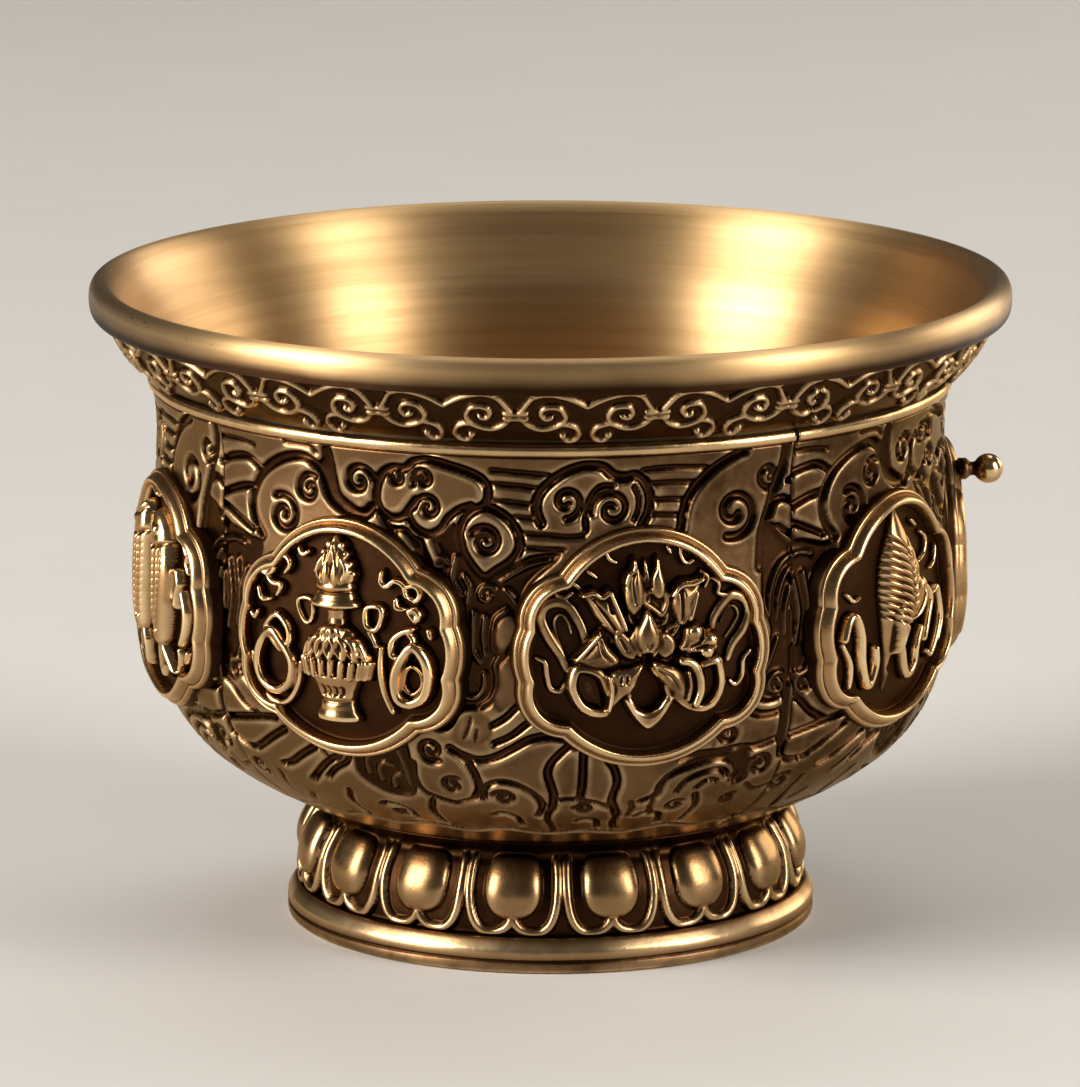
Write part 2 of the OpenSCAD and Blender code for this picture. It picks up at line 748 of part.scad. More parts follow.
// Outline of the base ring as shares of its width and height
ring_shares = [[0, 0], [0.9, 0], [1, 0.11], [1, 0.67], [0.81, 1], [0, 1]];

module foot_ring() {
    color("burlywood") rotate_extrude() difference() {
        polygon([for (s = ring_shares) [foot_r - ring_w * (1 - s[0]), ring_h * s[1]]]);
        translate([foot_r, line_z]) circle(line_d);
    }
}

liner_bowl();
wall_panel(1);  // wall_panel_1
wall_panel(2);  // wall_panel_2
wall_panel(3);  // wall_panel_3
wall_panel(4);  // wall_panel_4
scroll_band();
bead_ring();
medallion(fish_az);  // medallion_fish
medallion(vase_az);  // medallion_vase
medallion(lotus_az);  // medallion_lotus
medallion(conch_az);  // medallion_conch
medallion(knot_az);  // medallion_knot
medallion(banner_az);  // medallion_banner
medallion(wheel_az);  // medallion_wheel
medallion(parasol_az);  // medallion_parasol
emblem_fish();
emblem_vase();
emblem_lotus();
emblem_conch();
emblem_knot();
emblem_banner();
emblem_wheel();
emblem_parasol();
side_pearl();
foot_drum();
foot_ring();
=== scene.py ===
import math
import bpy
import numpy as np
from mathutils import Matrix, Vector


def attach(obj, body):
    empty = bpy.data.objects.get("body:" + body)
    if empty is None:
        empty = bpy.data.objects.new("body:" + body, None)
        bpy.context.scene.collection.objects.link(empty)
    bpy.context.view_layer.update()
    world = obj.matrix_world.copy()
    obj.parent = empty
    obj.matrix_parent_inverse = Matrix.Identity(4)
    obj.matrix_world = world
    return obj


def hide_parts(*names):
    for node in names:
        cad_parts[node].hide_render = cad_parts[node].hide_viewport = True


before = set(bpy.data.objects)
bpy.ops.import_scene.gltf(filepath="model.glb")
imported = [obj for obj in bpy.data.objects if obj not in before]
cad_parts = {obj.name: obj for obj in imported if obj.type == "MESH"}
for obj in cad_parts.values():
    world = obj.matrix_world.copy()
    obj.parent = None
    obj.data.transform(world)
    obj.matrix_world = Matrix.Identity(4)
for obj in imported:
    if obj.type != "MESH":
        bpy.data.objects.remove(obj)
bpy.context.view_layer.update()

# An antique brass water offering bowl. Sizes are millimetres and degrees; an azimuth counts
# from the seen side, -Y, towards +X. Meshes are written in metres.
MM = 0.001
WALL_R = 34.8
Z_LIP = 53.3
Z_BAND = 48.4
Z_BEAD = 47.2
Z_FLOOR = 11.4
Z_DISH = 12.2
SEAM = 36.0
WALL_T = 1.0
LINER_T = 0.8
GAP = 0.05
HALF_GAP = math.degrees(GAP / WALL_R) / 2
DEGREE = math.radians(1) * WALL_R

# Outlines of radius and height that climb
WALL = [
    (22.0, 11.2), (23.5, 11.85), (25.0, 12.6), (26.8, 13.6), (28.9, 15.0), (30.7, 16.5),
    (32.4, 18.6), (33.6, 21.0), (34.4, 24.0), (34.8, 28.0), (34.8, 32.0), (34.6, 36.0),
    (34.3, 40.0), (34.2, 44.5), (34.6, 47.2),
]
BAND = [(35.35, 48.4), (36.15, 49.2), (36.8, 50.0), (37.6, 51.1), (38.4, 52.6), (38.9, 53.3)]


# Curves and fields

def pairs(points):
    """Pairs of numbers. Text holds them as "x,y x,y", in tenths of a millimetre or degree."""
    if isinstance(points, str):
        return [tuple(float(v) / 10 for v in pair.split(",")) for pair in points.split()]
    return points


def smooth(points, step=0.12, closed=False):
    """Catmull-Rom curve through the points, sampled about every step."""
    p = np.array(pairs(points), float)
    if len(p) == 2:
        n = max(2, int(np.linalg.norm(p[1] - p[0]) / step) + 1)
        return p[0] + (p[1] - p[0]) * np.linspace(0, 1, n)[:, None]
    if closed:
        q = np.vstack([p[-1], p, p[:2]])
    else:
        q = np.vstack([2 * p[0] - p[1], p, 2 * p[-1] - p[-2]])
    out = []
    for a, b, c, d in zip(q[:-3], q[1:-2], q[2:-1], q[3:]):
        n = max(2, int(np.linalg.norm(c - b) / step) + 1)
        t = np.linspace(0, 1, n, endpoint=False)[:, None]
        out.append(0.5 * (2 * b + (c - a) * t + (2 * a - 5 * b + 4 * c - d) * t ** 2
                          + (3 * b - a - 3 * c + d) * t ** 3))
    return np.vstack(out if closed else out + [p[-1:]])


def step01(x):
    x = np.clip(x, 0, 1)
    return x * x * (3 - 2 * x)


def cap(d, r):
    """Height of a half circle of radius r at a distance from its middle, 1 at the most."""
    return np.sqrt(np.clip(1 - (d / r) ** 2, 0, 1))


def blur(h, n, wrap=False):
    """Box blur of a height grid, n samples to each side, twice."""
    for axis in (0, 1, 0, 1):
        pad = [(0, 0), (0, 0)]
        pad[axis] = (n, n)
        c = np.cumsum(np.pad(h, pad, mode="wrap" if wrap and axis == 1 else "edge"), axis=axis)
        c = np.concatenate([np.zeros_like(np.take(c, [0], axis)), c], axis)
        size, length = 2 * n + 1, h.shape[axis]
        h = (np.take(c, range(size, size + length), axis) - np.take(c, range(length), axis)) / size
    return h


def within(path, x, y):
    """Which points lie inside a closed outline."""
    inside = np.zeros(np.broadcast(x, y).shape, bool)
    for (xa, ya), (xb, yb) in zip(path, np.roll(path, -1, 0)):
        if ya != yb:
            inside ^= ((ya > y) != (yb > y)) & (x < (xb - xa) * (y - ya) / (yb - ya) + xa)
    return inside


def around(r, a, z):
    """Points at a radius, an angle from -Y towards +X and a height."""
    return np.stack(np.broadcast_arrays(r * np.sin(a), -r * np.cos(a), z), -1)


def full_turn(n):
    return np.linspace(0, 2 * math.pi, n, endpoint=False)[None, :]


class Skin:
    """A turned surface with a smooth outline, addressed by azimuth and length along it."""

    def __init__(self, points):
        self.r, self.z = smooth(points, 0.1).T
        self.s = np.concatenate([[0], np.cumsum(np.hypot(np.diff(self.r), np.diff(self.z)))])
        self.nr, self.nz = np.gradient(self.z, self.s), -np.gradient(self.r, self.s)
        self.length = self.s[-1]

    def s_at(self, z):
        return np.interp(z, self.z, self.s)

    def at(self, s, h=0.0):
        """Radius and height at a length along the outline, moved out by h."""
        return [np.interp(s, self.s, v) + h * np.interp(s, self.s, n)
                for v, n in ((self.r, self.nr), (self.z, self.nz))]

    def point(self, az, s, h=0.0):
        r, z = self.at(s, h)
        return around(r, np.radians(az), z)

    def degree(self, s):
        """Millimetres to a degree of azimuth."""
        return math.radians(1) * float(np.interp(s, self.s, self.r))


class Relief:
    """A grid of heights over a skin, into which grooves, ridges and grounds are worked."""

    def __init__(self, skin, az, s):
        self.skin, self.az, self.s = skin, az, s
        self.base = skin.point(az[None, :], s[:, None])
        self.h = np.zeros(self.base.shape[:2])
        # Painted shade, added to the dark mark where a part is to look shadowed
        self.painted_shade = np.zeros_like(self.h)

    def path(self, points, closed=False):
        """A drawn line, in azimuth and height, as samples of azimuth and length."""
        az, z = np.array(pairs(points), float).T
        q = smooth(np.stack([az * DEGREE, self.skin.s_at(z)], 1), 0.12, closed)
        return q / [DEGREE, 1]

    def curl(self, az, z, r0, r1, a0, a1):
        """A spiral line round a centre, from radius r0 at angle a0 to r1 at a1."""
        n = max(8, int(abs(math.radians(a1 - a0)) * max(r0, r1) / 0.12))
        a = np.radians(np.linspace(a0, a1, n))
        r = np.linspace(r0, r1, n)
        s = self.skin.s_at(z)
        return np.stack([az + r * np.cos(a) / self.skin.degree(s), s + r * np.sin(a)], 1)

    def near(self, path, reach):
        """The block of the grid near a path, and its distances to it."""
        wide = reach / self.skin.degree(path[:, 1].mean()) * 1.2
        c0, c1 = np.searchsorted(self.az, [path[:, 0].min() - wide, path[:, 0].max() + wide])
        r0, r1 = np.searchsorted(self.s, [path[:, 1].min() - reach, path[:, 1].max() + reach])
        block = self.base[r0:r1, c0:c1].reshape(-1, 3)
        ring = self.skin.point(path[:, 0], path[:, 1])
        best = np.full(len(block), 1e9)
        for i in range(0, len(ring), 64):
            q = ring[i:i + 64]
            d = (block ** 2).sum(1)[:, None] + (q ** 2).sum(1)[None] - 2 * block @ q.T
            best = np.minimum(best, d.min(1))
        d = np.sqrt(np.maximum(best, 0)).reshape(r1 - r0, c1 - c0)
        return (slice(r0, r1), slice(c0, c1)), d

    def groove(self, path, width, depth, lip=0.07):
        soft = 0.24
        where, d = self.near(path, width + 0.8)
        h = self.h[where]
        cut = -depth * step01((width / 2 + soft / 2 - d) / soft)
        rim = lip * np.exp(-((d - width / 2 - soft) / 0.15) ** 2) * step01((h + 0.25) / 0.2)
        self.h[where] = np.where(d < width / 2 + soft / 2, np.minimum(h, cut), h + rim)

    def ridge(self, path, width, top, rise):
        where, d = self.near(path, width)
        level = top - rise + rise * cap(d, width / 2)
        level = np.where(d < width / 2, level, level - (d - width / 2) * 4)
        self.h[where] = np.maximum(self.h[where], level)

    def region(self, path, level, soft, crown=0.0):
        """Brings the inside of a closed outline to a level, or raises it with a crown."""
        where, d = self.near(path, 0.6)
        inside = within(path, self.az[where[1]][None, :], self.s[where[0]][:, None])
        signed = np.where(inside, d, -d)
        t = step01(signed / soft * 0.5 + 0.5)
        target = level + crown * (1 - np.exp(-np.maximum(signed, 0) / 0.8))
        self.h[where] = self.h[where] * (1 - t) + target * t

    def dome(self, az, z, r, top, rise):
        where, d = self.near(np.array([[az, float(self.skin.s_at(z))]]), r)
        level = np.where(d < r, top - rise + rise * cap(d, r), -9)
        self.h[where] = np.maximum(self.h[where], level)

    def boss(self, az, half_az, z0, z1, foot, rise):
        """A smooth swelling over a rounded rectangle, from its foot level up by rise."""
        s0, s1 = self.skin.s_at(z0), self.skin.s_at(z1)
        u = np.abs((self.az - az) / half_az)[None, :]
        v = np.abs((self.s - (s0 + s1) / 2) / ((s1 - s0) / 2))[:, None]
        inside = np.clip(1 - u ** 2.6 - v ** 2.6, 0, 1)
        self.h = np.maximum(self.h, np.where(inside > 0, foot + rise * inside ** 0.5, -9))

    def soften(self, kept):
        self.h = kept * self.h + (1 - kept) * blur(self.h, 1)

    def sink_ends(self, depth, width):
        """Lets the two ends fall away, at a seam."""
        ends = np.minimum(self.az - self.az[0], self.az[-1] - self.az) * math.radians(1) * WALL_R
        self.h -= depth * np.exp(-(ends / width) ** 2)[None, :]


# Meshes

def enclosed_volume(verts, faces):
    total = 0.0
    for f in faces:
        if f.shape[1] <= 4:
            a, b, c, d = (verts[f[:, i]] for i in (0, 1, 2, -1))
            total += np.einsum("ij,ij->i", a, np.cross(b, c) + np.cross(c, d)).sum()
    return total


def new_object(name, verts, faces, dark=None, edge=None):
    """A mesh object from points in millimetres and faces, which it winds to face outwards."""
    verts = np.asarray(verts, float).reshape(-1, 3) * MM
    if enclosed_volume(verts, faces) < 0:
        faces = [f[:, ::-1] for f in faces]
    loops = np.concatenate([f.ravel() for f in faces]).astype(np.int32)
    sizes = np.concatenate([np.full(len(f), f.shape[1], np.int32) for f in faces])
    mesh = bpy.data.meshes.new(name)
    mesh.vertices.add(len(verts))
    mesh.vertices.foreach_set("co", verts.ravel())
    mesh.loops.add(len(loops))
    mesh.loops.foreach_set("vertex_index", loops)
    mesh.polygons.add(len(sizes))
    mesh.polygons.foreach_set("loop_start", (np.cumsum(sizes) - sizes).astype(np.int32))
    mesh.polygons.foreach_set("loop_total", sizes)
    mesh.update(calc_edges=True)
    mesh.validate()
    for key, values in (("dark", dark), ("edge", edge)):
        if values is not None:
            layer = mesh.attributes.new(key, "FLOAT", "POINT")
            layer.data.foreach_set("value", np.asarray(values, np.float32).ravel())
    mesh.shade_smooth()
    obj = bpy.data.objects.new(name, mesh)
    bpy.context.scene.collection.objects.link(obj)
    return obj


def grid_faces(rows, cols, wrap_rows=False, wrap_cols=False):
    index = np.arange(rows * cols).reshape(rows, cols)
    if wrap_rows:
        index = np.vstack([index, index[:1]])
    if wrap_cols:
        index = np.hstack([index, index[:, :1]])
    a, b, c, d = index[:-1, :-1], index[:-1, 1:], index[1:, 1:], index[1:, :-1]
    return np.stack([a, b, c, d], -1).reshape(-1, 4)


def per_point(values, rows, cols):
    """One value for each row, or for each point, as a whole grid."""
    return np.broadcast_to(np.asarray(values, float).reshape(rows, -1), (rows, cols))


def shell(name, verts, dark, edge, whole=False):
    """Closed sections side by side, with flat ends if they don't go all the way round."""
    rows, cols = verts.shape[:2]
    faces = [grid_faces(rows, cols, wrap_rows=True, wrap_cols=whole)]
    if not whole:
        first = np.arange(rows)[None, ::-1] * cols
        faces += [first, first[:, ::-1] + cols - 1]
    return new_object(name, verts, faces, *(per_point(v, rows, cols) for v in (dark, edge)))


def poled(name, rings, start, end, dark, edge):
    """Closed mesh of rings between two end points."""
    rows, cols = rings.shape[:2]
    first, n = np.arange(cols), rows * cols
    after, last = np.roll(first, -1), n - cols
    faces = [
        grid_faces(rows, cols, wrap_cols=True),
        np.stack([np.full(cols, n), after, first], 1),
        np.stack([np.full(cols, n + 1), last + first, last + after], 1),
    ]
    marks = [np.concatenate([grid.ravel(), [grid[0].mean(), grid[-1].mean()]])
             for grid in (per_point(v, rows, cols) for v in (dark, edge))]
    return new_object(name, np.concatenate([rings.reshape(-1, 3), [start, end]]), faces, *marks)


def turned_relief(name, relief, back, lo, hi, whole=False):
    """Closed mesh of a relief and the plain outline behind it, dark where the relief is low and
    where the relief's painted shade lies.
    """
    h = relief.h
    front = relief.skin.point(relief.az[None, :], relief.s[:, None], h)
    r, z = np.array(back).T[:, :, None]
    rear = around(r, np.radians(relief.az)[None, :], z)
    spacing = float(np.mean(np.diff(relief.s)))
    stand = h - blur(h, max(1, int(round(0.4 / spacing))), whole)
    dark = np.clip(step01((hi - h) / (hi - lo)) + 0.7 * step01(-stand / 0.2), 0, 1)
    # The relief's painted shade darkens the surface on top of its patina
    dark = np.clip(dark + relief.painted_shade, 0, 1)
    edge = step01((stand - 0.03) / 0.16)
    plain = np.ones(rear.shape[:2])
    return shell(name, np.concatenate([front, rear]), np.concatenate([dark, plain]),
                 np.concatenate([edge, 0 * plain]), whole)


# Ornament of one quarter of the wall, by azimuth and height, drawn at the azimuths of the seen
# quarter, whose left seam is at -54 degrees

# Dark sunk grounds between the polished shapes
GROUNDS = [
    ("-246,416 -228,409 -206,408 -194,402 -170,399 -150,406 -136,414 -129,394 -112,375 -92,367 "
     "-64,376 -42,385 -16,390 12,389 -30,364 -46,334 -56,306 -70,292 -74,272 -90,259 -124,256 "
     "-142,240 -166,242 -154,276 -146,312 -160,346 -192,376 -226,400"),
    ("312,398 326,406 344,394 364,382 386,360 376,320 366,284 354,264 322,254 292,264 304,292 "
     "322,314 308,344"),
    ("-546,384 -514,388 -476,383 -450,380 -454,364 -470,334 -482,310 -472,280 -464,252 -490,262 "
     "-514,256 -546,274"),
    ("-336,469 -323,469 -317,446 -310,432 -292,424 -274,420 -260,427 -252,422 -270,412 -300,416 "
     "-320,424 -332,438 -346,452 -338,460"),
    "-294,208 -270,216 -234,219 -212,226 -206,206 -206,182 -224,170 -264,172 -298,188",
    ("184,209 214,215 242,215 270,210 294,212 300,200 306,184 286,180 289,194 276,205 248,209 "
     "210,207"),
]

# Polished leaves and pads that stand in the grounds
PADS = [
    "-136,229 -134,242 -122,252 -102,255 -85,248 -83,235 -98,227 -120,225",
    "-75,333 -52,341 -46,326 -60,309 -77,312",
    "-73,295 -56,304 -40,286 -44,270 -68,258 -80,268 -72,281",
    "236,216 266,217 304,216 346,222 346,240 312,241 284,248 264,246 240,236",
    "-224,403 -208,405 -190,392 -200,384 -214,392",
    "-182,398 -166,400 -156,384 -168,380",
]

# Dark grooves that part the shapes, by width
GROOVES = [
    # Leaf at the left seam and the fan behind it
    (0.75, "-448,386 -464,398 -471,413 -465,427 -450,440 -427,450 -398,457 -369,459 -349,453 "
     "-336,441 -328,430 -314,422 -295,417 -270,416"),
    (0.55, "-544,440 -520,447 -482,450 -454,442"),
    (0.55, "-544,413 -520,419 -494,424 -470,426"),
    (0.5, "-544,406 -520,402 -496,396 -470,389"),
    # Cloud over the vase
    (0.7, "-244,420 -252,429 -250,443 -240,453 -224,458 -206,458 -194,464 -172,467 -142,463 "
     "-114,458 -96,452 -88,443 -91,433 -102,428 -120,424"),
    (0.7, "-244,420 -228,415 -212,417 -202,424 -192,432"),
    (0.6, "-204,419 -193,409 -174,404 -156,409 -146,418 -130,426 -112,430"),
    # Whirl
    (0.75, "-129,406 -122,418 -108,426 -90,429 -72,425 -56,417 -46,407 -44,395 -54,385 -73,377 "
     "-93,370 -110,379 -124,392 -129,406"),
    # Scroll cluster over the lotus
    (0.8, "-14,416 -20,426 -19,437 -8,447 8,455 26,461 50,465 72,463 86,456 102,454 118,455 "
     "132,448 139,436 136,423 128,414"),
    (0.45, "49,410 48,422 54,436 68,446 88,447"),
    (0.34, "116,446 123,437 122,426 116,418"),
    # Leaf at the right seam and the planks past it
    (0.75, "184,408 188,422 196,435 212,447 234,458 259,466 278,470"),
    (0.85, "347,470 346,458 340,446 330,433 321,417 311,403 307,388 304,370"),
    (0.5, "326,422 344,426 364,420"), (0.45, "353,440 364,440"),
    (0.5, "316,396 334,402 352,396 364,392"),
    # Flames under the whirl
    (0.7, "-144,222 -126,216 -104,212 -80,215 -56,223 -30,232 2,236 24,233 34,227"),
    (0.5, "-80,228 -56,235 -34,246 -18,252 -4,252"),
    (0.5, "-82,244 -64,251 -46,262 -34,266"),
    # Lines under the lotus
    (0.62, "32,230 14,220 0,210 -5,200 0,188 4,177 2,164"),
    (0.6, "46,226 46,206 46,188 44,173"),
    (0.6, "82,212 92,203 98,190 94,177 95,169 108,154"),
    (0.55, "-103,174 -99,184 -83,191 -60,191 -36,184 -19,175 -13,165 -19,156"),
    (0.45, "6,172 26,175 50,173 74,169 92,164"),
    (0.62, "-134,218 -120,209 -110,196 -108,183 -116,174"),
    (0.5, "-202,206 -204,190 -196,178 -174,172 -146,168 -118,173"),
    # Scrolls right of the lotus
    (0.6, "140,170 162,176 166,187 182,197 214,204 252,207 276,202 285,193 280,185"),
    (0.5, "194,178 204,188 228,195 256,196 269,190"),
    (0.42, "224,180 238,187 254,185"),
    (0.6, "284,251 304,244 330,243 346,246"),
    (0.2, "-122,232 -116,242 -112,250"), (0.2, "-107,230 -104,240"),
    (0.7, "348,264 350,244 348,226 354,204"),
    (0.5, "236,212 276,215 310,214 348,220"),
    # Planks right of the left seam
    (0.55, "-542,219 -514,222 -486,225 -456,228 -428,230"),
    (0.55, "-542,259 -516,252 -492,239 -464,230"),
    (0.6, "-490,196 -470,202 -444,211 -414,221"),
    (0.5, "-540,206 -524,198 -502,196 -480,198"),
    (0.6, "-444,185 -422,189 -396,198 -364,209"),
    (0.6, "-396,174 -376,183 -352,194 -330,202 -310,205"),
    (0.5, "-360,180 -338,190 -314,198 -306,204"),
    # Line round the foot of the pattern
    (0.45, "-542,135 -480,139 -420,134 -360,140 -290,136 -220,140 -150,134 -80,139 -10,133 60,136 "
     "130,132 200,139 270,134 340,138 362,135"),
    (0.45, "108,154 106,145 114,136"), (0.45, "2,164 -6,152 4,136"),
    (0.4, "-186,169 -194,156 -186,142"), (0.4, "-330,170 -342,156 -334,142"),
    (0.4, "226,174 236,160 228,142"), (0.4, "-466,176 -474,160 -464,140"),
    (0.4, "-94,156 -76,159 -56,154 -48,144"),
    (0.4, "42,149 58,152 76,148 82,139"),
    (0.4, "-286,157 -270,161 -240,157 -232,146"),
    (0.4, "140,153 156,157 180,153 186,143"),
]

# Narrow grooves: stripes of water and cuts in the leaves
FINE_GROOVES = [
    "-82,449 -50,448 -22,446",
    "-82,435 -56,434 -26,432",
    "-50,422 -36,421 -20,420",
    "-84,461 -40,459 -4,457",
    "-39,408 -10,407 24,405 46,406",
    "-38,396 -14,395 18,394",
    "143,448 168,448 206,447",
    "144,434 168,434 189,433",
    "140,422 164,421 184,420",
    "128,460 166,461 220,459",
    "-400,470 -360,469 -346,464",
    "-538,463 -500,464 -464,462",
    "-352,209 -336,198 -314,205",
    "124,170 129,162 126,154",
    "160,170 158,162 164,154",
    "310,178 330,171 356,174",
    "-440,150 -426,158",
]

# Curls: azimuth, height, outer and inner radius, first and last angle, groove width
CURLS = [
    (-36.3, 43.2, 1.25, 0.25, 60, 520, 0.5), (-40.9, 40.7, 1.75, 0.3, 120, -380, 0.58),
    (-27.9, 44.4, 1.45, 0.25, 10, 420, 0.58), (-21.8, 45.0, 0.62, 0.2, 170, 430, 0.42),
    (-18.1, 45.0, 0.95, 0.2, 210, -210, 0.48), (-17.4, 42.6, 1.15, 0.22, 180, -250, 0.5),
    (-9.2, 40.0, 1.35, 0.3, 150, -310, 0.62), (2.1, 43.4, 1.4, 0.3, -90, 320, 0.55),
    (8.5, 42.7, 1.65, 0.3, 190, -310, 0.46), (26.5, 41.9, 2.15, 0.42, -110, 330, 0.62),
    (32.1, 44.7, 1.2, 0.25, -40, -430, 0.5), (-17.2, 21.9, 1.2, 0.25, 300, -180, 0.5),
    (-14.7, 18.6, 0.95, 0.2, 60, 460, 0.45), (-7.2, 17.5, 1.0, 0.2, 160, -280, 0.45),
    (5.0, 16.3, 0.8, 0.2, 160, -240, 0.38), (26.0, 22.9, 1.0, 0.25, 100, 500, 0.5),
    (32.2, 19.5, 1.3, 0.3, 200, -280, 0.5), (-51.0, 17.4, 1.1, 0.25, 60, 480, 0.42),
    (20.0, 16.2, 0.9, 0.2, 60, 440, 0.38), (29.0, 16.4, 0.8, 0.2, 60, 440, 0.36),
    (-25.6, 15.0, 0.7, 0.2, 60, 440, 0.34),
]

# Raised lines on the sunk grounds
RIDGES = [
    "-134,386 -139,368 -126,354", "-122,370 -114,360 -118,348",
    "-70,367 -52,374 -30,381 -4,385",
    "-64,360 -54,354 -48,348",
    "-108,339 -109,324 -108,308 -98,298",
    "-92,336 -94,320 -91,304",
    "-61,343 -77,335 -81,320 -79,308 -64,309",
    "-63,308 -77,297 -75,282 -83,267 -98,260",
    "-128,336 -132,312 -132,294 -129,276 -120,268 -105,267 -94,275 -92,288",
    "-162,248 -146,258 -130,264",
    "320,326 322,346 336,366 356,375 382,376",
    "332,322 336,344 348,360 362,367",
    "346,310 347,332 358,350", "360,302 358,324 366,340",
    "312,280 324,294 334,308",
    "-534,374 -510,377 -488,374", "-526,358 -516,328 -524,300",
    "-506,360 -498,330 -504,304", "-538,346 -534,316",
    "-486,354 -490,336", "-496,286 -506,272 -522,274",
    "-282,188 -280,202 -266,210 -248,210",
    "-264,182 -263,194 -252,200 -238,199",
    "-246,176 -242,186 -228,190",
    "-226,214 -219,198 -218,180",
    "-76,236 -58,243 -38,254 -30,258",
]
RIDGE_CURLS = [
    (-8.9, 35.5, 0.9, 0.2, 30, 420), (-15.8, 38.0, 0.7, 0.2, 0, 330),
    (33.4, 26.7, 1.1, 0.3, 60, 440), (-50.6, 26.4, 1.1, 0.3, 60, 440),
    (-14.0, 28.6, 0.6, 0.2, 90, 400),
]
GROUND = -0.62
PAD, PAD_CROWN = -0.24, 0.3
GROOVE_DEPTH, CURL_DEPTH = 0.58, 0.52
FINE_WIDTH, FINE_DEPTH = 0.36, 0.36
# Width, top and rise of the raised lines
RIDGE = (0.42, -0.18, 0.3)
RIDGE_CURL = (0.36, -0.12, 0.3)
SEAM_DEPTH = 0.2
# Samples by azimuth and by length
WALL_GRID, BAND_GRID, FOOT_GRID = (340, 268), (1720, 50), (1100, 76)


def wall_pattern(w, turn):
    """Works the quarter's ornament into a relief, turned from its drawn place."""
    def line(points, closed=False):
        return w.path([(a + turn, z) for a, z in pairs(points)], closed)

    for points in GROUNDS:
        w.region(line(points, True), GROUND, 0.3)
    for points in PADS:
        w.region(line(points, True), PAD, 0.28, PAD_CROWN)
    for width, points in GROOVES:
        w.groove(line(points), width, GROOVE_DEPTH)
    for points in FINE_GROOVES:
        w.groove(line(points), FINE_WIDTH, FINE_DEPTH, lip=0.05)
    for az, z, r0, r1, a0, a1, width in CURLS:
        w.groove(w.curl(az + turn, z, r0, r1, a0, a1), width, CURL_DEPTH)
    for points in RIDGES:
        w.ridge(line(points), *RIDGE)
    for az, z, r0, r1, a0, a1 in RIDGE_CURLS:
        w.ridge(w.curl(az + turn, z, r0, r1, a0, a1), *RIDGE_CURL)


def wall_relief(az0, turn):
    skin = Skin(WALL)
    az = np.linspace(az0 + HALF_GAP, az0 + 90 - HALF_GAP, WALL_GRID[0])
    s = np.linspace(0, skin.s_at(Z_BEAD - GAP / 2), WALL_GRID[1])
    w = Relief(skin, az, s)
    wall_pattern(w, turn)
    w.soften(0.45)
    w.sink_ends(SEAM_DEPTH, 0.16)
    # The lowest part is plain, and its very edge is turned in
    low = step01((skin.r[0] + 1.8 - np.interp(s, skin.s, skin.r)) / 1.2)[:, None]
    w.h = w.h * (1 - low) - 0.25 * low * (1 - step01(s / 0.5))[:, None]
    # Painted shade: the lowest 2 mm of the wall, the hollow neck over the foot, darkened as if in
    # shadow
    w.painted_shade += 0.9 * step01((2.0 - s) / 1.4)[:, None]
    # Painted shade by azimuth: lightest towards the left lamp at about -70 degrees, darker round
    # the front, the right and the back
    w.painted_shade += np.minimum(0.38 - 0.33 * np.cos(np.radians(az + 70)), 0.5)[None, :]
    return w


def back_outline(points):
    """The back of an outline, as a few points from top to bottom."""
    skin = Skin(points)
    return np.stack(skin.at(np.linspace(0, skin.length, 14)[::-1], -WALL_T), 1)


# Medallions

WALL_SKIN = Skin(WALL)
MEDALLION_Z = 31.0
HALF_W = 10.985
HALF_H = 10.4
GROUND_H = 0.2
# Half the field an emblem is carved in, the half axes of the opening in the frame, in which it
# may stand up, and the distance between its samples
CARVING_HALF = (9.5, 9.1)
OPENING = (9.55, 9.35)
CARVING_STEP = 0.08
# The frame's lobes: place and radius as shares of half the width and height
LOBES = [
    (0, 0.16, 0.83), (0, -0.03, 0.95), (0.565, 0.23, 0.41), (-0.565, 0.23, 0.41),
    (0.47, -0.04, 0.56), (-0.47, -0.04, 0.56), (0.6, -0.32, 0.39), (-0.6, -0.32, 0.39),
]
# Section of the frame: inset from its outline and height over the wall
FRAME = [
    (-0.1, -0.5), (-0.06, 0.1), (0.0, 0.6), (0.08, 0.82), (0.2, 0.88), (0.3, 0.78), (0.36, 0.76),
    (0.48, 1.06), (0.68, 1.38), (0.92, 1.5), (1.14, 1.36), (1.28, 0.95), (1.35, 0.5), (1.42, 0.22),
]


def on_wall(az0, x, y, h):
    """Points of a flat drawing laid on the wall, x along it and y up, standing out by h."""
    z = MEDALLION_Z + y
    rho = np.interp(z, WALL_SKIN.z, WALL_SKIN.r) + h
    return around(rho, math.radians(az0) + np.arcsin(x / rho), z)


def frame_radius(phi, inset):
    dx, dy = np.cos(phi), np.sin(phi)
    best = np.zeros(np.broadcast(phi, inset).shape)
    for cx, cy, share in LOBES:
        cx, cy = cx * HALF_W, cy * HALF_H
        r = HALF_H * share - inset
        along = cx * dx + cy * dy
        square = r * r - (cx * cx + cy * cy) + along ** 2
        best = np.maximum(best, np.where(square > 0, along + np.sqrt(np.maximum(square, 0)), 0))
    for _ in range(2):
        best = (np.roll(best, 1, -1) + 2 * best + np.roll(best, -1, -1)) / 4
    return best


def bell(x, middle, width):
    return np.exp(-((x - middle) / width) ** 2)


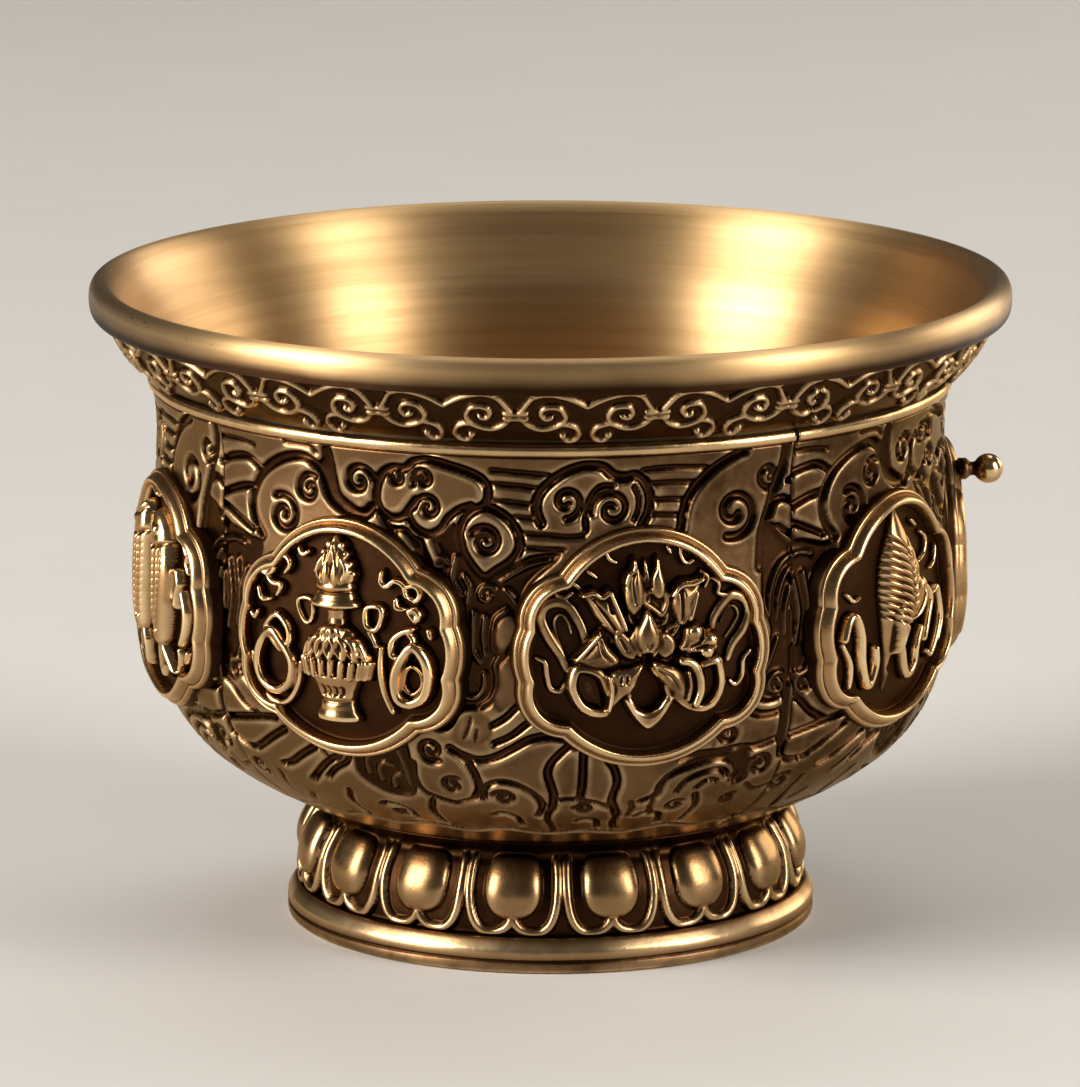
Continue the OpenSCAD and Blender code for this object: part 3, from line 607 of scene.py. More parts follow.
def medallion(name, az0, seed):
    """The sunk ground, the lobed frame round it and a flat back."""
    phi = full_turn(560)
    line = smooth(FRAME, 0.03)
    s = np.concatenate([[0], np.cumsum(np.hypot(*np.diff(line, axis=0).T))])
    even = np.linspace(0, s[-1], 30)
    inset, height = (np.interp(even, s, v)[::-1, None] for v in line.T)
    r_frame = frame_radius(phi, inset)
    wave = 0.03 * np.sin(5 * phi + seed) + 0.02 * np.sin(11 * phi + 2 * seed)
    height = height + wave * step01(height)
    t = np.linspace(0.06, 0.97, 16)[:, None]
    t_back = np.linspace(0.96, 0.06, 6)[:, None]
    r = np.concatenate([r_frame[:1] * t, r_frame, r_frame[-1:] * t_back])
    h = np.concatenate([GROUND_H + 0.1 * (1 - t ** 4) + 0 * phi, height, -0.5 + 0 * t_back * phi])
    rings = on_wall(az0, r * np.cos(phi), r * np.sin(phi), h)
    frame_dark = np.maximum(step01((0.85 - height.mean(1, keepdims=True)) / 0.7),
                            0.75 * bell(inset, 0.34, 0.06))
    crest = bell(inset, 0.9, 0.22) + 0.7 * bell(inset, 0.16, 0.07)
    dark = np.concatenate([1 - 0 * t, frame_dark, 1 + 0 * t_back])
    edge = np.concatenate([0 * t, np.clip(crest, 0, 1), 0 * t_back])
    ends = [on_wall(az0, 0.0, 0.0, level) for level in (0.3, -0.5)]
    return poled(name, rings, *ends, dark, edge)


class Carving:
    """A field of heights over a medallion's ground, in millimetres."""

    def __init__(self):
        # Painted shade over a whole emblem, set for the emblems that are to look shadowed
        self.painted_shade = 0.0
        self.x, self.y = (np.arange(-half, half + CARVING_STEP, CARVING_STEP)
                          for half in CARVING_HALF)
        self.h = np.full((len(self.y), len(self.x)), -1.0)

    def near(self, path, reach):
        """The block near a path, its distances to it and the share of the way along it."""
        c0, c1 = np.searchsorted(self.x, [path[:, 0].min() - reach, path[:, 0].max() + reach])
        r0, r1 = np.searchsorted(self.y, [path[:, 1].min() - reach, path[:, 1].max() + reach])
        x, y = np.meshgrid(self.x[c0:c1], self.y[r0:r1])
        best, where = np.full(x.size, 1e9), np.zeros(x.size)
        for i in range(0, len(path), 48):
            q = path[i:i + 48]
            d = (x.reshape(-1, 1) - q[:, 0]) ** 2 + (y.reshape(-1, 1) - q[:, 1]) ** 2
            k = d.argmin(1)
            low = d[np.arange(len(k)), k]
            where = np.where(low < best, (i + k) / max(1, len(path) - 1), where)
            best = np.minimum(best, low)
        block = slice(r0, r1), slice(c0, c1)
        return block, np.sqrt(best).reshape(x.shape), where.reshape(x.shape)

    def raise_to(self, where, level):
        self.h[where] = np.maximum(self.h[where], level)

    def tube(self, points, width, top, closed=False, ends=0.6):
        """A round-backed line that narrows towards its ends."""
        where, d, t = self.near(smooth(points, 0.05, closed), width)
        if not closed:
            width = width * (ends + (1 - ends) * np.sin(np.pi * np.clip(t, 0, 1)) ** 0.5)
        half = width / 2
        level = top - half * 0.9 + half * 0.9 * cap(d, half)
        self.raise_to(where, level - np.maximum(d - half, 0) * 6)

    def both(self, points, width, top):
        """The same tube on the left and on the right."""
        for side in (-1, 1):
            self.tube(flip(points, side), width, top)

    def leaf(self, points, top, soft=0.6, cup=0.0, rim=0.22):
        """A closed shape with rounded edges, hollowed by cup inside a rim."""
        path = smooth(points, 0.05, True)
        where, d, _ = self.near(path, 0.5)
        x, y = np.meshgrid(self.x[where[1]], self.y[where[0]])
        rise = 1 - np.clip(d / soft, 0, 1)
        level = top - soft * 0.75 * (1 - np.sqrt(1 - rise ** 2))
        level = level - cup * step01((d - rim) / 0.5)
        self.raise_to(where, np.where(within(path, x, y), level, top - soft * 0.75 - d * 6))

    def petal(self, base, tip, width, top, bend=0.0, cup=0.3, soft=0.5):
        """A pointed petal from its base to its tip, its middle bent sideways."""
        a, b = np.array(base, float), np.array(tip, float)
        t = np.linspace(0, 1, 16)[:, None]
        along = b - a
        side = np.array([-along[1], along[0]]) / np.linalg.norm(along)
        mid = a + along * t + side * bend * np.sin(np.pi * t)
        half = width / 2 * np.sin(np.pi * t ** 0.75) ** 0.8
        outline = np.concatenate([mid + side * half, (mid - side * half)[-2:0:-1]])
        self.leaf(outline, top, soft, cup)
        self.cut(mid[2:-3], 0.16, 0.12)

    def body(self, y_top, y_low, middle, half, base, flat):
        """A long upright body between two heights, round across."""
        x, y = self.x[None, :] - middle, self.y[:, None]
        inside = (np.abs(x) < half) & (y <= y_top) & (y >= y_low)
        level = base + flat * np.sqrt(np.maximum(half ** 2 - x ** 2, 0))
        self.h = np.where(inside, np.maximum(self.h, level), self.h)

    def spun(self, axis, profile, base, flat):
        """A body turned about an upright axis, from its heights and radii."""
        p = np.array(pairs(profile), float)
        r = np.interp(self.y, p[::-1, 0], p[::-1, 1], left=0, right=0)[:, None]
        self.body(p[0, 0], p[-1, 0], axis, r, base, flat)

    def across(self, rows, y):
        """Left and right edge of a pod at a height."""
        t = np.array(rows)[::-1]
        return np.interp(y, t[:, 0], t[:, 1]), np.interp(y, t[:, 0], t[:, 2])

    def pod(self, rows, base, flat):
        """A body from rows of height, left and right edge."""
        left, right = (v[:, None] for v in self.across(rows, self.y))
        self.body(rows[0][0], rows[-1][0], (left + right) / 2, (right - left) / 2, base, flat)

    def cut(self, points, width, depth):
        where, d, _ = self.near(smooth(points, 0.05), width * 1.5)
        h = self.h[where]
        self.h[where] = np.where(h > -0.5, h - depth * bell(d, 0, width / 2), h)

    def dot(self, x, y, r, top, tall=1.0):
        where, d, _ = self.near(np.array([[x, y]]), r * 1.3)
        level = top - r * tall * (1 - cap(d, r))
        self.raise_to(where, np.where(d < r, level, top - r * tall - (d - r) * 6))

    def skirt(self):
        """Lets every shape fall to the ground over a short slope, all round it."""
        for _ in range(10):
            pad = np.pad(self.h, 1, mode="edge")
            beside = [pad[:-2, 1:-1], pad[2:, 1:-1], pad[1:-1, :-2], pad[1:-1, 2:]]
            self.h = np.maximum(self.h, np.maximum.reduce(beside) - 0.45)

    def mesh(self, name, az0):
        """A closed mesh of all that stands over the ground, with a flat back in it."""
        self.skirt()
        h = 0.5 * self.h + 0.5 * blur(self.h, 1)
        keep = h > GROUND_H - 0.32
        cell = keep[:-1, :-1] & keep[1:, :-1] & keep[:-1, 1:] & keep[1:, 1:]
        used = np.zeros(h.shape, bool)
        for rows in (slice(0, -1), slice(1, None)):
            for cols in (slice(0, -1), slice(1, None)):
                used[rows, cols] |= cell
        n = int(used.sum())
        number = np.full(h.shape, -1)
        number[used] = np.arange(n)
        x, y = np.meshgrid(self.x, self.y)
        past_frame = (x / OPENING[0]) ** 2 + (y / OPENING[1]) ** 2 > 1
        h = np.where(past_frame, np.minimum(h, GROUND_H), h)
        top = on_wall(az0, x[used], y[used], np.maximum(h[used], GROUND_H - 0.12))
        low = on_wall(az0, x[used], y[used], np.full(n, GROUND_H - 0.25))
        a, b, c, d = number[:-1, :-1], number[:-1, 1:], number[1:, 1:], number[1:, :-1]
        front = np.stack([a, b, c, d], -1)[cell]
        faces = [front, front[:, ::-1] + n]
        padded = np.pad(cell, 1)
        for dr, dc, p, q in ((-1, 0, a, b), (0, 1, b, c), (1, 0, c, d), (0, -1, d, a)):
            beside = padded[1 + dr:padded.shape[0] - 1 + dr, 1 + dc:padded.shape[1] - 1 + dc]
            p, q = p[cell & ~beside], q[cell & ~beside]
            faces.append(np.stack([q, p, p + n, q + n], -1))
        stand = h - blur(np.maximum(h, GROUND_H), 4)
        # Dark low down and beside taller shapes as patina, plus the emblem's painted shade
        dark = np.clip(step01((0.85 - h) / 0.6) + 0.8 * step01(-stand / 0.22) + self.painted_shade, 0, 1)
        edge = step01((stand - 0.05) / 0.25)
        return new_object(name, np.concatenate([top, low]), faces,
                          np.concatenate([dark[used], np.ones(n)]),
                          np.concatenate([edge[used], np.zeros(n)]))


def flip(points, side=1, along=0.0):
    """Drawn points, mirrored if side is -1, then moved along."""
    return [(side * x + along, y) for x, y in pairs(points)]


def on_circle(r, degrees):
    """A point at an angle clockwise from the top."""
    return r * math.sin(math.radians(degrees)), r * math.cos(math.radians(degrees))


# Emblems. After its points, a tube's width and top follow, a leaf's top and softness, a cut's
# width and depth, and after its axis and profile a spun body's base and flatness.

def carve_vase(c):
    ax = -0.35
    c.leaf(flip("-18,51 -16.5,62 -12.5,72 -6,81 0,89 6,81 12.5,72 16.5,62 18,51 0,48", 1, ax),
           1.5, 0.5)
    for k in (-1, 1, 0):
        c.petal((ax + 0.95 * k, 4.9), (ax + 0.55 * k, 8.4 - 0.8 * abs(k)), 1.15, 1.95,
                bend=-0.3 * k, cup=0.35)
    for k in (-1, 1):
        c.petal((ax + 0.45 * k, 4.8), (ax + 0.4 * k, 6.9), 0.75, 2.2, cup=0.2)
    for side in (-1, 1):
        for x, y in flip("17.5,58 15,66 11,74 6.5,81", side, ax):
            c.dot(x, y, 0.3, 1.45)
    c.spun(ax, "50,17 47.5,18.5 44.5,18.5 42.5,17", 0.9, 0.62)
    c.spun(ax, "42.5,18 37,20 33.5,23.5 30.5,24 29,21", 0.8, 0.6)
    c.cut(flip("-18,43.5 0,42 18,43.5", 1, ax), 0.24, 0.3)
    # Neck, shoulder with its petals, belly and stem
    ax = -0.15
    c.spun(ax, "30,9.5 20,8 15,9 12,13", 0.8, 0.8)
    c.spun(ax, "13,13 9,18 4,22 -2,25", 0.8, 0.55)
    for k in (-1, 1, 0):
        c.petal((ax + 0.5 * k, 1.4), (ax + 0.8 * k, -0.2), 0.95, 2.35 - 0.15 * abs(k), cup=0.25)
    c.spun(ax, "3,20 -5,28 -12,31 -15,30", 0.45, 0.4)
    for k in (-4, 4, -3, 3, -2, 2, -1, 1, 0):
        x, front = on_circle(1, 21 * k)
        c.petal((ax + 1.9 * x, 0.55), (ax + 3.5 * x, -1.55), 1.25 * front ** 0.5 + 0.1,
                0.95 + 1.45 * front, cup=0.4, soft=0.4)
    c.spun(ax, "-15,31 -20,31 -29,27", 0.35, 0.36)
    for k in range(-5, 6):
        x, front = on_circle(1, 16.5 * k)
        x = 3.45 * x
        c.tube([(ax + x, -1.65), (ax + x * 0.9, -2.95)], 0.58, 0.95 + 1.3 * front, ends=0.85)
    c.spun(ax, "-28,25 -34,23 -42,19 -49,16.5 -53,16.5 -59,18.5 -64,21.5 -68,21.5", 0.7, 0.62)
    for x in (-0.9, -0.3, 0.35, 0.95):
        c.cut([(ax + x, -3.95), (ax + x * 0.9, -4.4)], 0.42, 0.5)
    c.cut(flip("-18,-50 0,-51.5 18,-50", 1, ax), 0.25, 0.22)
    # Handles
    c.tube("27,30 39,32 41,24 36,13 27,16", 0.48, 1.25, closed=True)
    c.tube("-42,30 -29,31 -27,18 -33,11 -40,19", 0.45, 0.85, closed=True)
    c.tube("26,13 32,6 36,-2", 0.4, 1.1)
    # Ribbon rings
    c.tube("70,1 60,-10 54,-26 56,-43 66,-48 78,-41 83,-25 80,-9", 0.85, 1.6, closed=True)
    c.tube("67,-16 61,-23 60,-34 67,-40 75,-33 75,-22", 0.36, 1.0, closed=True)
    c.tube("69,16 59,12 51,4 51,-7 59,-10", 0.6, 1.35)
    c.tube("64,13 69,7 68,1", 0.5, 1.25)
    c.tube("41,-2 40,-21 43,-40 50,-57", 0.6, 1.2)
    c.tube("-68,1 -79,-10 -84,-28 -78,-44 -63,-50 -48,-40 -46,-22 -56,-9", 0.8, 1.55, closed=True)
    c.tube("-63,15 -74,4 -71,-2 -58,-14 -50,-8 -50,5", 0.6, 1.35, closed=True)
    c.tube("-90,-21 -91,-38 -82,-54 -64,-62 -50,-56 -40,-39 -38,-23", 0.6, 1.15)
    # Leafy scraps
    for points in ("40,62 39,54 44,50 51,55 59,52 62,43", "60,51 70,52 74,46 71,40 65,42",
                   "53,40 54,33 60,32", "82,16 84,9", "-86,46 -79,57 -67,61 -56,65 -50,59 -55,51",
                   "-76,48 -69,41 -59,40 -63,31", "-84,35 -80,26 -70,27", "-41,74 -37,69 -31,72",
                   "-92,13 -88,9 -84,15"):
        c.tube(points, 0.5, 1.2)
    c.leaf("63,32 71,35 77,29 73,21 67,24", 1.4, 0.4, cup=0.3)
    c.leaf("-83,49 -74,57 -64,58 -66,50 -74,45", 1.25, 0.35, cup=0.2)


def carve_lotus(c):
    # Painted shade: the lotus faces away from the left lamp and is darkened all over
    c.painted_shade = 0.42
    # Ribbons behind the flower
    c.tube("-66,-15 -71,-3 -81,13 -87,28 -84,38 -75,42 -65,39 -58,29 -53,18 -51,7", 1.1, 0.85)
    c.tube("-68,1 -74,13 -76,25 -71,32 -65,25 -62,15", 0.34, 0.6)
    c.tube("71,-12 76,0 86,12 91,26 87,37 76,41 67,35 59,24 56,12", 1.1, 0.85)
    c.tube("69,6 76,15 81,25 76,32 69,27 65,19", 0.34, 0.6)
    c.tube("-91,-5 -84,-9 -82,-21 -79,-31 -71,-33 -68,-26", 0.6, 0.78)
    c.tube("92,-7 86,-14 85,-27 79,-35 73,-31", 0.6, 0.78)
    # Scraps by the frame
    for points in ("30,85 31,77 35,71 42,73", "48,64 54,58 51,50", "58,57 64,52 63,44 71,42",
                   "-33,83 -30,77 -24,74", "-49,68 -41,62", "-75,49 -68,46 -61,50",
                   "-62,59 -56,54 -53,48", "19,86 22,80"):
        c.tube(points, 0.46, 0.78)
    # Shadowed petals behind, which fill the flower between the outer ones
    c.leaf("-43,32 -30,38 -19,47 -4,51 13,54 24,42 32,26 29,4 22,-10 1,-15 -22,-13 -35,-2 "
           "-38,14", 0.95, 0.5)
    for points in ("-6,30 -14,44", "8,28 19,46", "14,12 29,18", "-15,19 -32,30", "-16,4 -34,7",
                   "12,0 24,-4"):
        c.cut(points, 0.4, 0.45)
    c.petal((-0.9, 2.0), (-1.7, 4.6), 1.3, 1.35, cup=0.4)
    c.petal((0.8, 1.9), (1.9, 4.2), 1.3, 1.3, cup=0.4)
    c.petal((1.0, 0.9), (3.0, 2.4), 1.2, 1.4, cup=0.4)
    c.petal((-1.2, 0.6), (-3.4, 1.0), 1.1, 1.35, cup=0.4)
    # Big cups low left and right, and the one at the bottom between them
    c.leaf("-62,-10 -67,-22 -66,-34 -58,-48 -45,-55 -33,-54 -28,-43 -30,-30 -36,-16 -49,-9",
           1.65, 0.7, cup=1.0, rim=0.6)
    c.leaf("61,-7 67,-18 68,-34 62,-48 51,-55 36,-53 24,-44 19,-35 24,-22 41,-11", 1.65, 0.7,
           cup=1.0, rim=0.6)
    c.leaf("-21,-39 -16,-50 -8,-61 0,-67 8,-63 16,-54 23,-40 15,-39 8,-48 0,-51 -8,-48 -13,-39",
           1.75, 0.8)
    c.tube("-4,-14 -13,-26 -17,-42", 0.5, 1.5)
    c.tube("2,-14 13,-26 19,-42", 0.5, 1.5)
    # Tall petals at the top
    c.petal((-0.1, 3.0), (-0.1, 7.7), 1.0, 1.35)
    c.leaf("-19,39 -20.5,54 -17,64 -11.5,69 -11,79 -7,69 -4,60 -3,47 -6,36 -13,31", 1.85, 0.75)
    c.cut("-10.5,70 -13,58 -11,42", 0.2, 0.25)
    c.tube("-19,58 -16.5,65 -11.5,70 -11,77", 0.34, 1.85)
    c.leaf("3,50 3.5,63 6.5,69 9,79 12,68 15,57 14,47 8,44", 1.75, 0.55)
    c.leaf("-4,51 5,54 16,52 19,39 12,28 2,34 -6,41", 1.55, 0.45, cup=0.5, rim=0.3)
    # Upper side petals with their curled edges
    c.leaf("25,22 19.5,35 21,50 29,56 38,55 47,59 44,49 40,38 38,28 32,21", 2.05, 1.3)
    c.tube("20.5,47 28,55 38,56 47,59", 0.42, 2.05)
    c.tube("42,48 39,37 36,26", 0.4, 1.95)
    c.cut("28,50 29,38 29,25", 0.28, 0.4)
    c.leaf("-55,49 -46,51 -39,47 -32,53 -27,43 -22,31 -18,21 -21,11 -29,14 -38,22 -45,31 -50,41",
           1.95, 1.4)
    c.tube("-55,49 -46,51.5 -39,47.5 -33,51", 0.38, 1.95)
    c.tube("-32,52 -28,42 -23,30 -19,20", 0.4, 2.0)
    c.cut("-46,45 -37,33 -28,20", 0.26, 0.4)
    c.cut("-34,46 -31,35", 0.22, 0.3)
    c.leaf("-29,15 -22,18 -14,11 -10,2 -13,-6 -22,-3 -28,6", 1.75, 0.55)
    c.cut("-24,12 -19,3", 0.24, 0.3)
    # Middle petals
    c.leaf("28,8 31,19 41,23 48,18 55,15 61,6 59,-3 50,-6 41,-4 32,-5 25,1", 2.0, 1.3)
    for x, y in ((4.0, 1.5), (5.3, 0.7), (5.0, -0.1)):
        c.dot(x, y, 0.62, 2.15, 0.6)
    c.cut("47,16 44,7 36,3", 0.26, 0.4)
    c.cut("58,2 49,3 40,1", 0.24, 0.35)
    c.leaf("-61,-5 -54,2 -47,10 -41,18 -36,11 -30,4 -23,-5 -28,-12 -40,-14 -52,-11", 2.2, 1.6)
    c.tube("-61,-5 -54,2 -47,10 -41,17", 0.36, 1.9)
    c.cut("-41,12 -39,2 -32,-6", 0.24, 0.34)
    c.leaf("8,14 16,16 23,9 22,-1 13,-6 6,2", 1.7, 0.5)
    # Inner low petals
    c.leaf("-4,-9 -16,-12 -28,-13 -34,-19 -31,-31 -35,-50 -27,-43 -21,-37 -14,-33 -9,-23", 2.25,
           1.2)
    c.tube("-34,-19 -31.5,-31 -34,-48", 0.36, 2.2)
    for x in (-2.4, -1.9):
        c.cut([(x, -1.9), (x - 0.05, -2.4)], 0.26, 0.34)
    c.leaf("2,-9 15,-10 28,-16 34,-30 31,-41 21,-36 11,-26", 2.2, 1.3)
    c.cut("8,-14 19,-22 26,-33", 0.22, 0.25)
    c.tube("27,-8 37,-11 43,-22 44,-35 40,-46", 0.8, 2.3, ends=0.7)
    c.tube("34,-18 36,-30 34,-42", 0.4, 2.0)
    # Bud with its two sepals
    c.leaf("-10,24 -16,14 -13,2 -6,-4 -7,10", 1.9, 0.5)
    c.leaf("7,24 12,14 10,2 3,-4 4,10", 1.9, 0.5)
    c.leaf("-2,36 4,28 8.5,17 8,7 3,0 -2,-1 -7,1 -11,8 -11,18 -7,28", 2.6, 1.0)
    c.cut("-4,9 -2,5 1,9", 0.2, 0.25)
    c.cut("-1.5,-3 -1,-16", 0.6, 0.9)


def carve_conch(c):
    # Painted shade: the conch is darkened all over, less than the lotus
    c.painted_shade = 0.22
    rows = [(9.0, -0.5, -0.1), (8.0, -1.1, 0.4), (6.6, -1.9, 1.1), (5.3, -2.7, 1.8),
            (3.7, -3.2, 2.4), (2.0, -3.4, 2.5), (0.3, -3.2, 1.9), (-1.5, -2.9, 0.3),
            (-3.3, -2.6, -0.9), (-5.1, -2.3, -1.3), (-6.7, -2.0, -1.7)]
    c.pod(rows, 0.35, 0.66)
    c.leaf("-22,4 -12,16 2,26 14,30 23,22 22,6 12,-4 0,-9 -10,-20 -16,-34 -20,-14", 2.35, 0.8)
    c.cut("18,16 8,4 -2,-7 -10,-24 -15,-46", 0.55, 0.8)
    for k in range(11):
        y = 6.6 - 0.66 * k
        left, right = c.across(rows, y)
        mid = (left + right) / 2
        c.cut([(left - 0.1, y + 0.2), (left + 0.45 * (mid - left), y - 0.25), (mid, y - 0.95),
               (mid + 0.5, y - 1.6)], 0.24, 0.36)
    for y in (6.8, 5.9, 5.0, 4.1):
        left, right = c.across(rows, y)
        c.cut([(right, y), (right - 0.8, y - 0.9), (right - 1.2, y - 1.8)], 0.22, 0.2)
    c.tube("-81,-12 -75,4 -67,6 -60,-10 -58,-35 -48,-57 -40,-41 -41,-25", 0.68, 1.25, ends=0.8)
    c.tube("-81,-17 -72,-32 -70,-44 -71,-55", 0.36, 1.0)
    c.tube("23,10 36,15 48,4 42,-14 36,-31", 0.68, 1.35)
    c.tube("-2,-30 4,-49 12,-58 21,-49 23,-34 29,-19", 0.68, 1.3)
    c.tube("56,6 66,8 72,-9 68,-30 56,-48 46,-44", 0.62, 1.2)
    c.tube("78,-4 82,-22 74,-40", 0.45, 1.0)
    for points in ("34,36 46,42 50,54 40,61", "58,26 68,31 72,43", "-74,26 -66,19 -58,21",
                   "24,74 32,68"):
        c.tube(points, 0.42, 0.8)


def carve_fish(c):
    for side in (-1, 1):
        def m(points):
            return flip(points, side)
        c.leaf(m("18,74 32,69 45,50 52,24 50,-4 43,-30 32,-44 23,-36 16,-10 12,24 12,54"),
               2.1, 1.5)
        c.leaf(m("29,-34 39,-48 52,-64 36,-63 24,-72 22,-50"), 1.5, 0.45, cup=0.25)
        c.leaf(m("49,24 60,29 66,16 61,5 60,-6 49,2"), 1.3, 0.4, cup=0.25)
        for points in ("21,42 21.5,10 26,-28", "30,42 30.5,10 30,-28", "40,42 40.5,10 35,-28"):
            c.cut(m(points), 0.26, 0.3)
        for k in range(11):
            y = 3.7 - 0.6 * k
            c.cut(m([(1.5, y), (2.9, y - 0.35), (4.6 - 0.08 * k, y + 0.05)]), 0.14, 0.06)
        c.cut(m("13,49 28,43 46,49"), 0.3, 0.4)
        c.dot(side * 3.0, 5.8, 0.45, 2.25)
        c.cut(m("17,68 24,63"), 0.25, 0.3)
    c.both("3,82 18,86 38,81 54,69 66,54 73,44", 0.6, 1.1)
    c.both("79,46 73,37 78,28", 0.5, 1.05)
    c.both("70,10 76,-6 74,-22 66,-36", 0.62, 1.25)
    c.both("59,-42 59,-52 54,-62", 0.5, 1.05)
    c.both("73,-42 69,-52", 0.45, 1.0)
    c.both("3,62 5,30 4,-4 6,-34", 0.4, 0.95)


def carve_knot(c):
    for k in (-2, -1, 0, 1, 2):
        p = 1.35 * k * math.sqrt(0.5)
        reach = (4.9 - 0.45 * abs(k)) * math.sqrt(0.5)
        over = 0.15 * (k % 2)
        for way, top in ((-1, 1.55 + over), (1, 1.62 - over)):
            c.tube([(p - reach, way * (p + reach)), (p + reach, way * (p - reach))], 0.75, top,
                   ends=0.9)
    for turn in (0, 90, 180, 270):
        sa, ca = on_circle(1, turn)
        for points, width in (("-13,44 -15,60 0,72 15,60 13,44", 0.75),
                              ("22,46 36,60 53,56 57,38 44,24", 0.7)):
            c.tube([(x * ca - y * sa, x * sa + y * ca) for x, y in pairs(points)], width, 1.4)
    c.both("10,70 32,76 54,69", 0.45, 0.95)
    c.both("16,-74 36,-72 56,-64", 0.45, 0.95)
    c.both("76,16 81,0 74,-16", 0.5, 0.95)


def carve_banner(c):
    c.spun(0, "82,2 77,6 72,5 68,12 62,23 54,32 50,34 48,32", 0.8, 0.5)
    for y, r in ((4.6, 2.9), (2.6, 3.2), (0.6, 3.4), (-1.4, 3.5)):
        c.spun(0, [(y, r * 0.85), (y - 0.6, r), (y - 1.5, r), (y - 2.0, r * 0.84)], 0.7, 0.42)
        for k in range(-4, 5):
            x = r * 0.9 * on_circle(1, 19 * k)[0]
            c.cut([(x, y - 0.4), (x, y - 1.5)], 0.2, 0.22)
    for k in range(-3, 4):
        x = on_circle(3.1, 26 * k)[0]
        c.petal((x, -3.0), (x, -5.2), 0.95, 1.5 - 0.06 * k * k)
    c.spun(0, "-32,7 -72,6 -76,10 -80,6", 0.8, 0.8)
    c.both("34,52 49,49 60,34 52,18 50,-4 62,-16 56,-36", 0.7, 1.25)
    c.both("66,46 76,30 70,12 76,-8", 0.5, 1.0)
    c.both("42,-46 54,-54 46,-64 32,-62", 0.55, 1.1)


def carve_wheel(c):
    for r, width, top in ((5.2, 1.3, 1.75), (4.3, 0.4, 1.35)):
        c.tube([on_circle(r, t) for t in range(0, 360, 20)], width, top, closed=True)
    c.dot(0, 0, 1.5, 1.7, 0.5)
    c.dot(0, 0, 0.8, 2.1, 0.7)
    for t in range(0, 360, 45):
        c.petal(on_circle(1.0, t), on_circle(4.7, t), 0.95, 1.7, cup=0.0)
        c.dot(*on_circle(6.5, t), 0.75, 1.7)
        c.petal(on_circle(5.6, t), on_circle(8.0, t), 0.8, 1.3, cup=0.0)
    for points in ("30,79 46,72 58,60", "30,-79 46,-72 58,-60", "75,30 79,14"):
        c.both(points, 0.5, 1.0)


def carve_parasol(c):
    c.spun(0, "83,2 78,6 73,5 68,13 60,29 50,41 40,48 34,49 31,46", 0.8, 0.4)
    for k in range(-3, 4):
        x = on_circle(4.7, 25 * k)[0]
        c.cut([(0.12 * x, 7.0), (0.7 * x, 5.4), (x, 3.6)], 0.24, 0.25)
    c.spun(0, "32,43 24,44 4,43 -6,40", 0.6, 0.32)
    for k in range(-5, 6):
        x = on_circle(4.1, 16.5 * k)[0]
        c.cut([(x, 3.0), (x, 0.6)], 0.22, 0.25)
        c.petal((x, 0.8), (x, -1.3), 0.8, 1.6 - 0.03 * k * k, cup=0.1)
    c.spun(0, "-8,6 -70,5.5 -74,9 -79,5", 0.8, 0.8)
    c.both("6,-24 22,-20 34,-32 26,-48 12,-44 6,-32", 0.65, 1.3)
    c.both("50,30 62,18 58,-2 66,-20 56,-38", 0.6, 1.1)
    c.both("68,38 78,22 74,4", 0.45, 0.95)
    c.both("40,-46 48,-58 36,-66 24,-62", 0.5, 1.0)


# Scroll band: strokes of one motif, in azimuth and height, left of its dip
MOTIF_DIP = 4.5
BAND_STROKES = [
    "45,520 25,527 5,531 -10,531.5 -23,528 -33,520 -40,514",
    "-39,510 -30,503 -15,499 0,500 13,504 18,510 12,518 3,520 -8,519 -13,514 -8,509 0,510",
    "13,504 23,503 32,500 36,494 32,488.5 20,487.5 14,492",
    [(-4.9, 51.38), (-3.1, 51.38)],
    "-49,509 -31,509",
    "-19,530 -26,532.5",
]


def band_relief():
    skin = Skin(BAND)
    az = np.linspace(SEAM + HALF_GAP, SEAM + 360 - HALF_GAP, BAND_GRID[0])
    s = np.linspace(skin.s_at(Z_BAND + GAP / 2), skin.s_at(Z_LIP - GAP / 2), BAND_GRID[1])
    w = Relief(skin, az, s)
    w.h[:] = -0.5
    for k in range(2, 23):
        middle = MOTIF_DIP + 18 * k
        for side in (1, -1):
            for points in BAND_STROKES:
                drawn = [(middle + side * (a - MOTIF_DIP), z) for a, z in pairs(points)]
                w.ridge(w.path(drawn), 0.46, 0.07, 0.36)
            w.dome(middle + side * (0.0 - MOTIF_DIP), 51.05, 0.24, 0.04, 0.25)
            w.dome(middle + side * (1.5 - MOTIF_DIP), 49.2, 0.3, 0.06, 0.3)
    w.soften(0.5)
    w.sink_ends(SEAM_DEPTH, 0.2)
    w.h = np.maximum(w.h, -0.75)
    return w


# Foot
FOOT = "218,30.5 218.5,44 214.5,68 205.5,86 200,94 200.5,100 208,107 219,111.5"
# The drum's inside from the seat on top down to the base ring
FOOT_BACK = "210,113 190,113.5 140,113.5 140,98 188,94 193,82 202,64 206,44 206,30.5"
PETALS = 16
PETAL_AZ = -8.6
# Half width, foot and top of the swelling in each petal
BOSS = (6.7, 4.45, 10.1)
PETAL_EDGE = "-101,97 -103,82 -102,66 -97,52 -86,41 -68,34.5 -46,33 -24,35 -9,39.5 0,45"


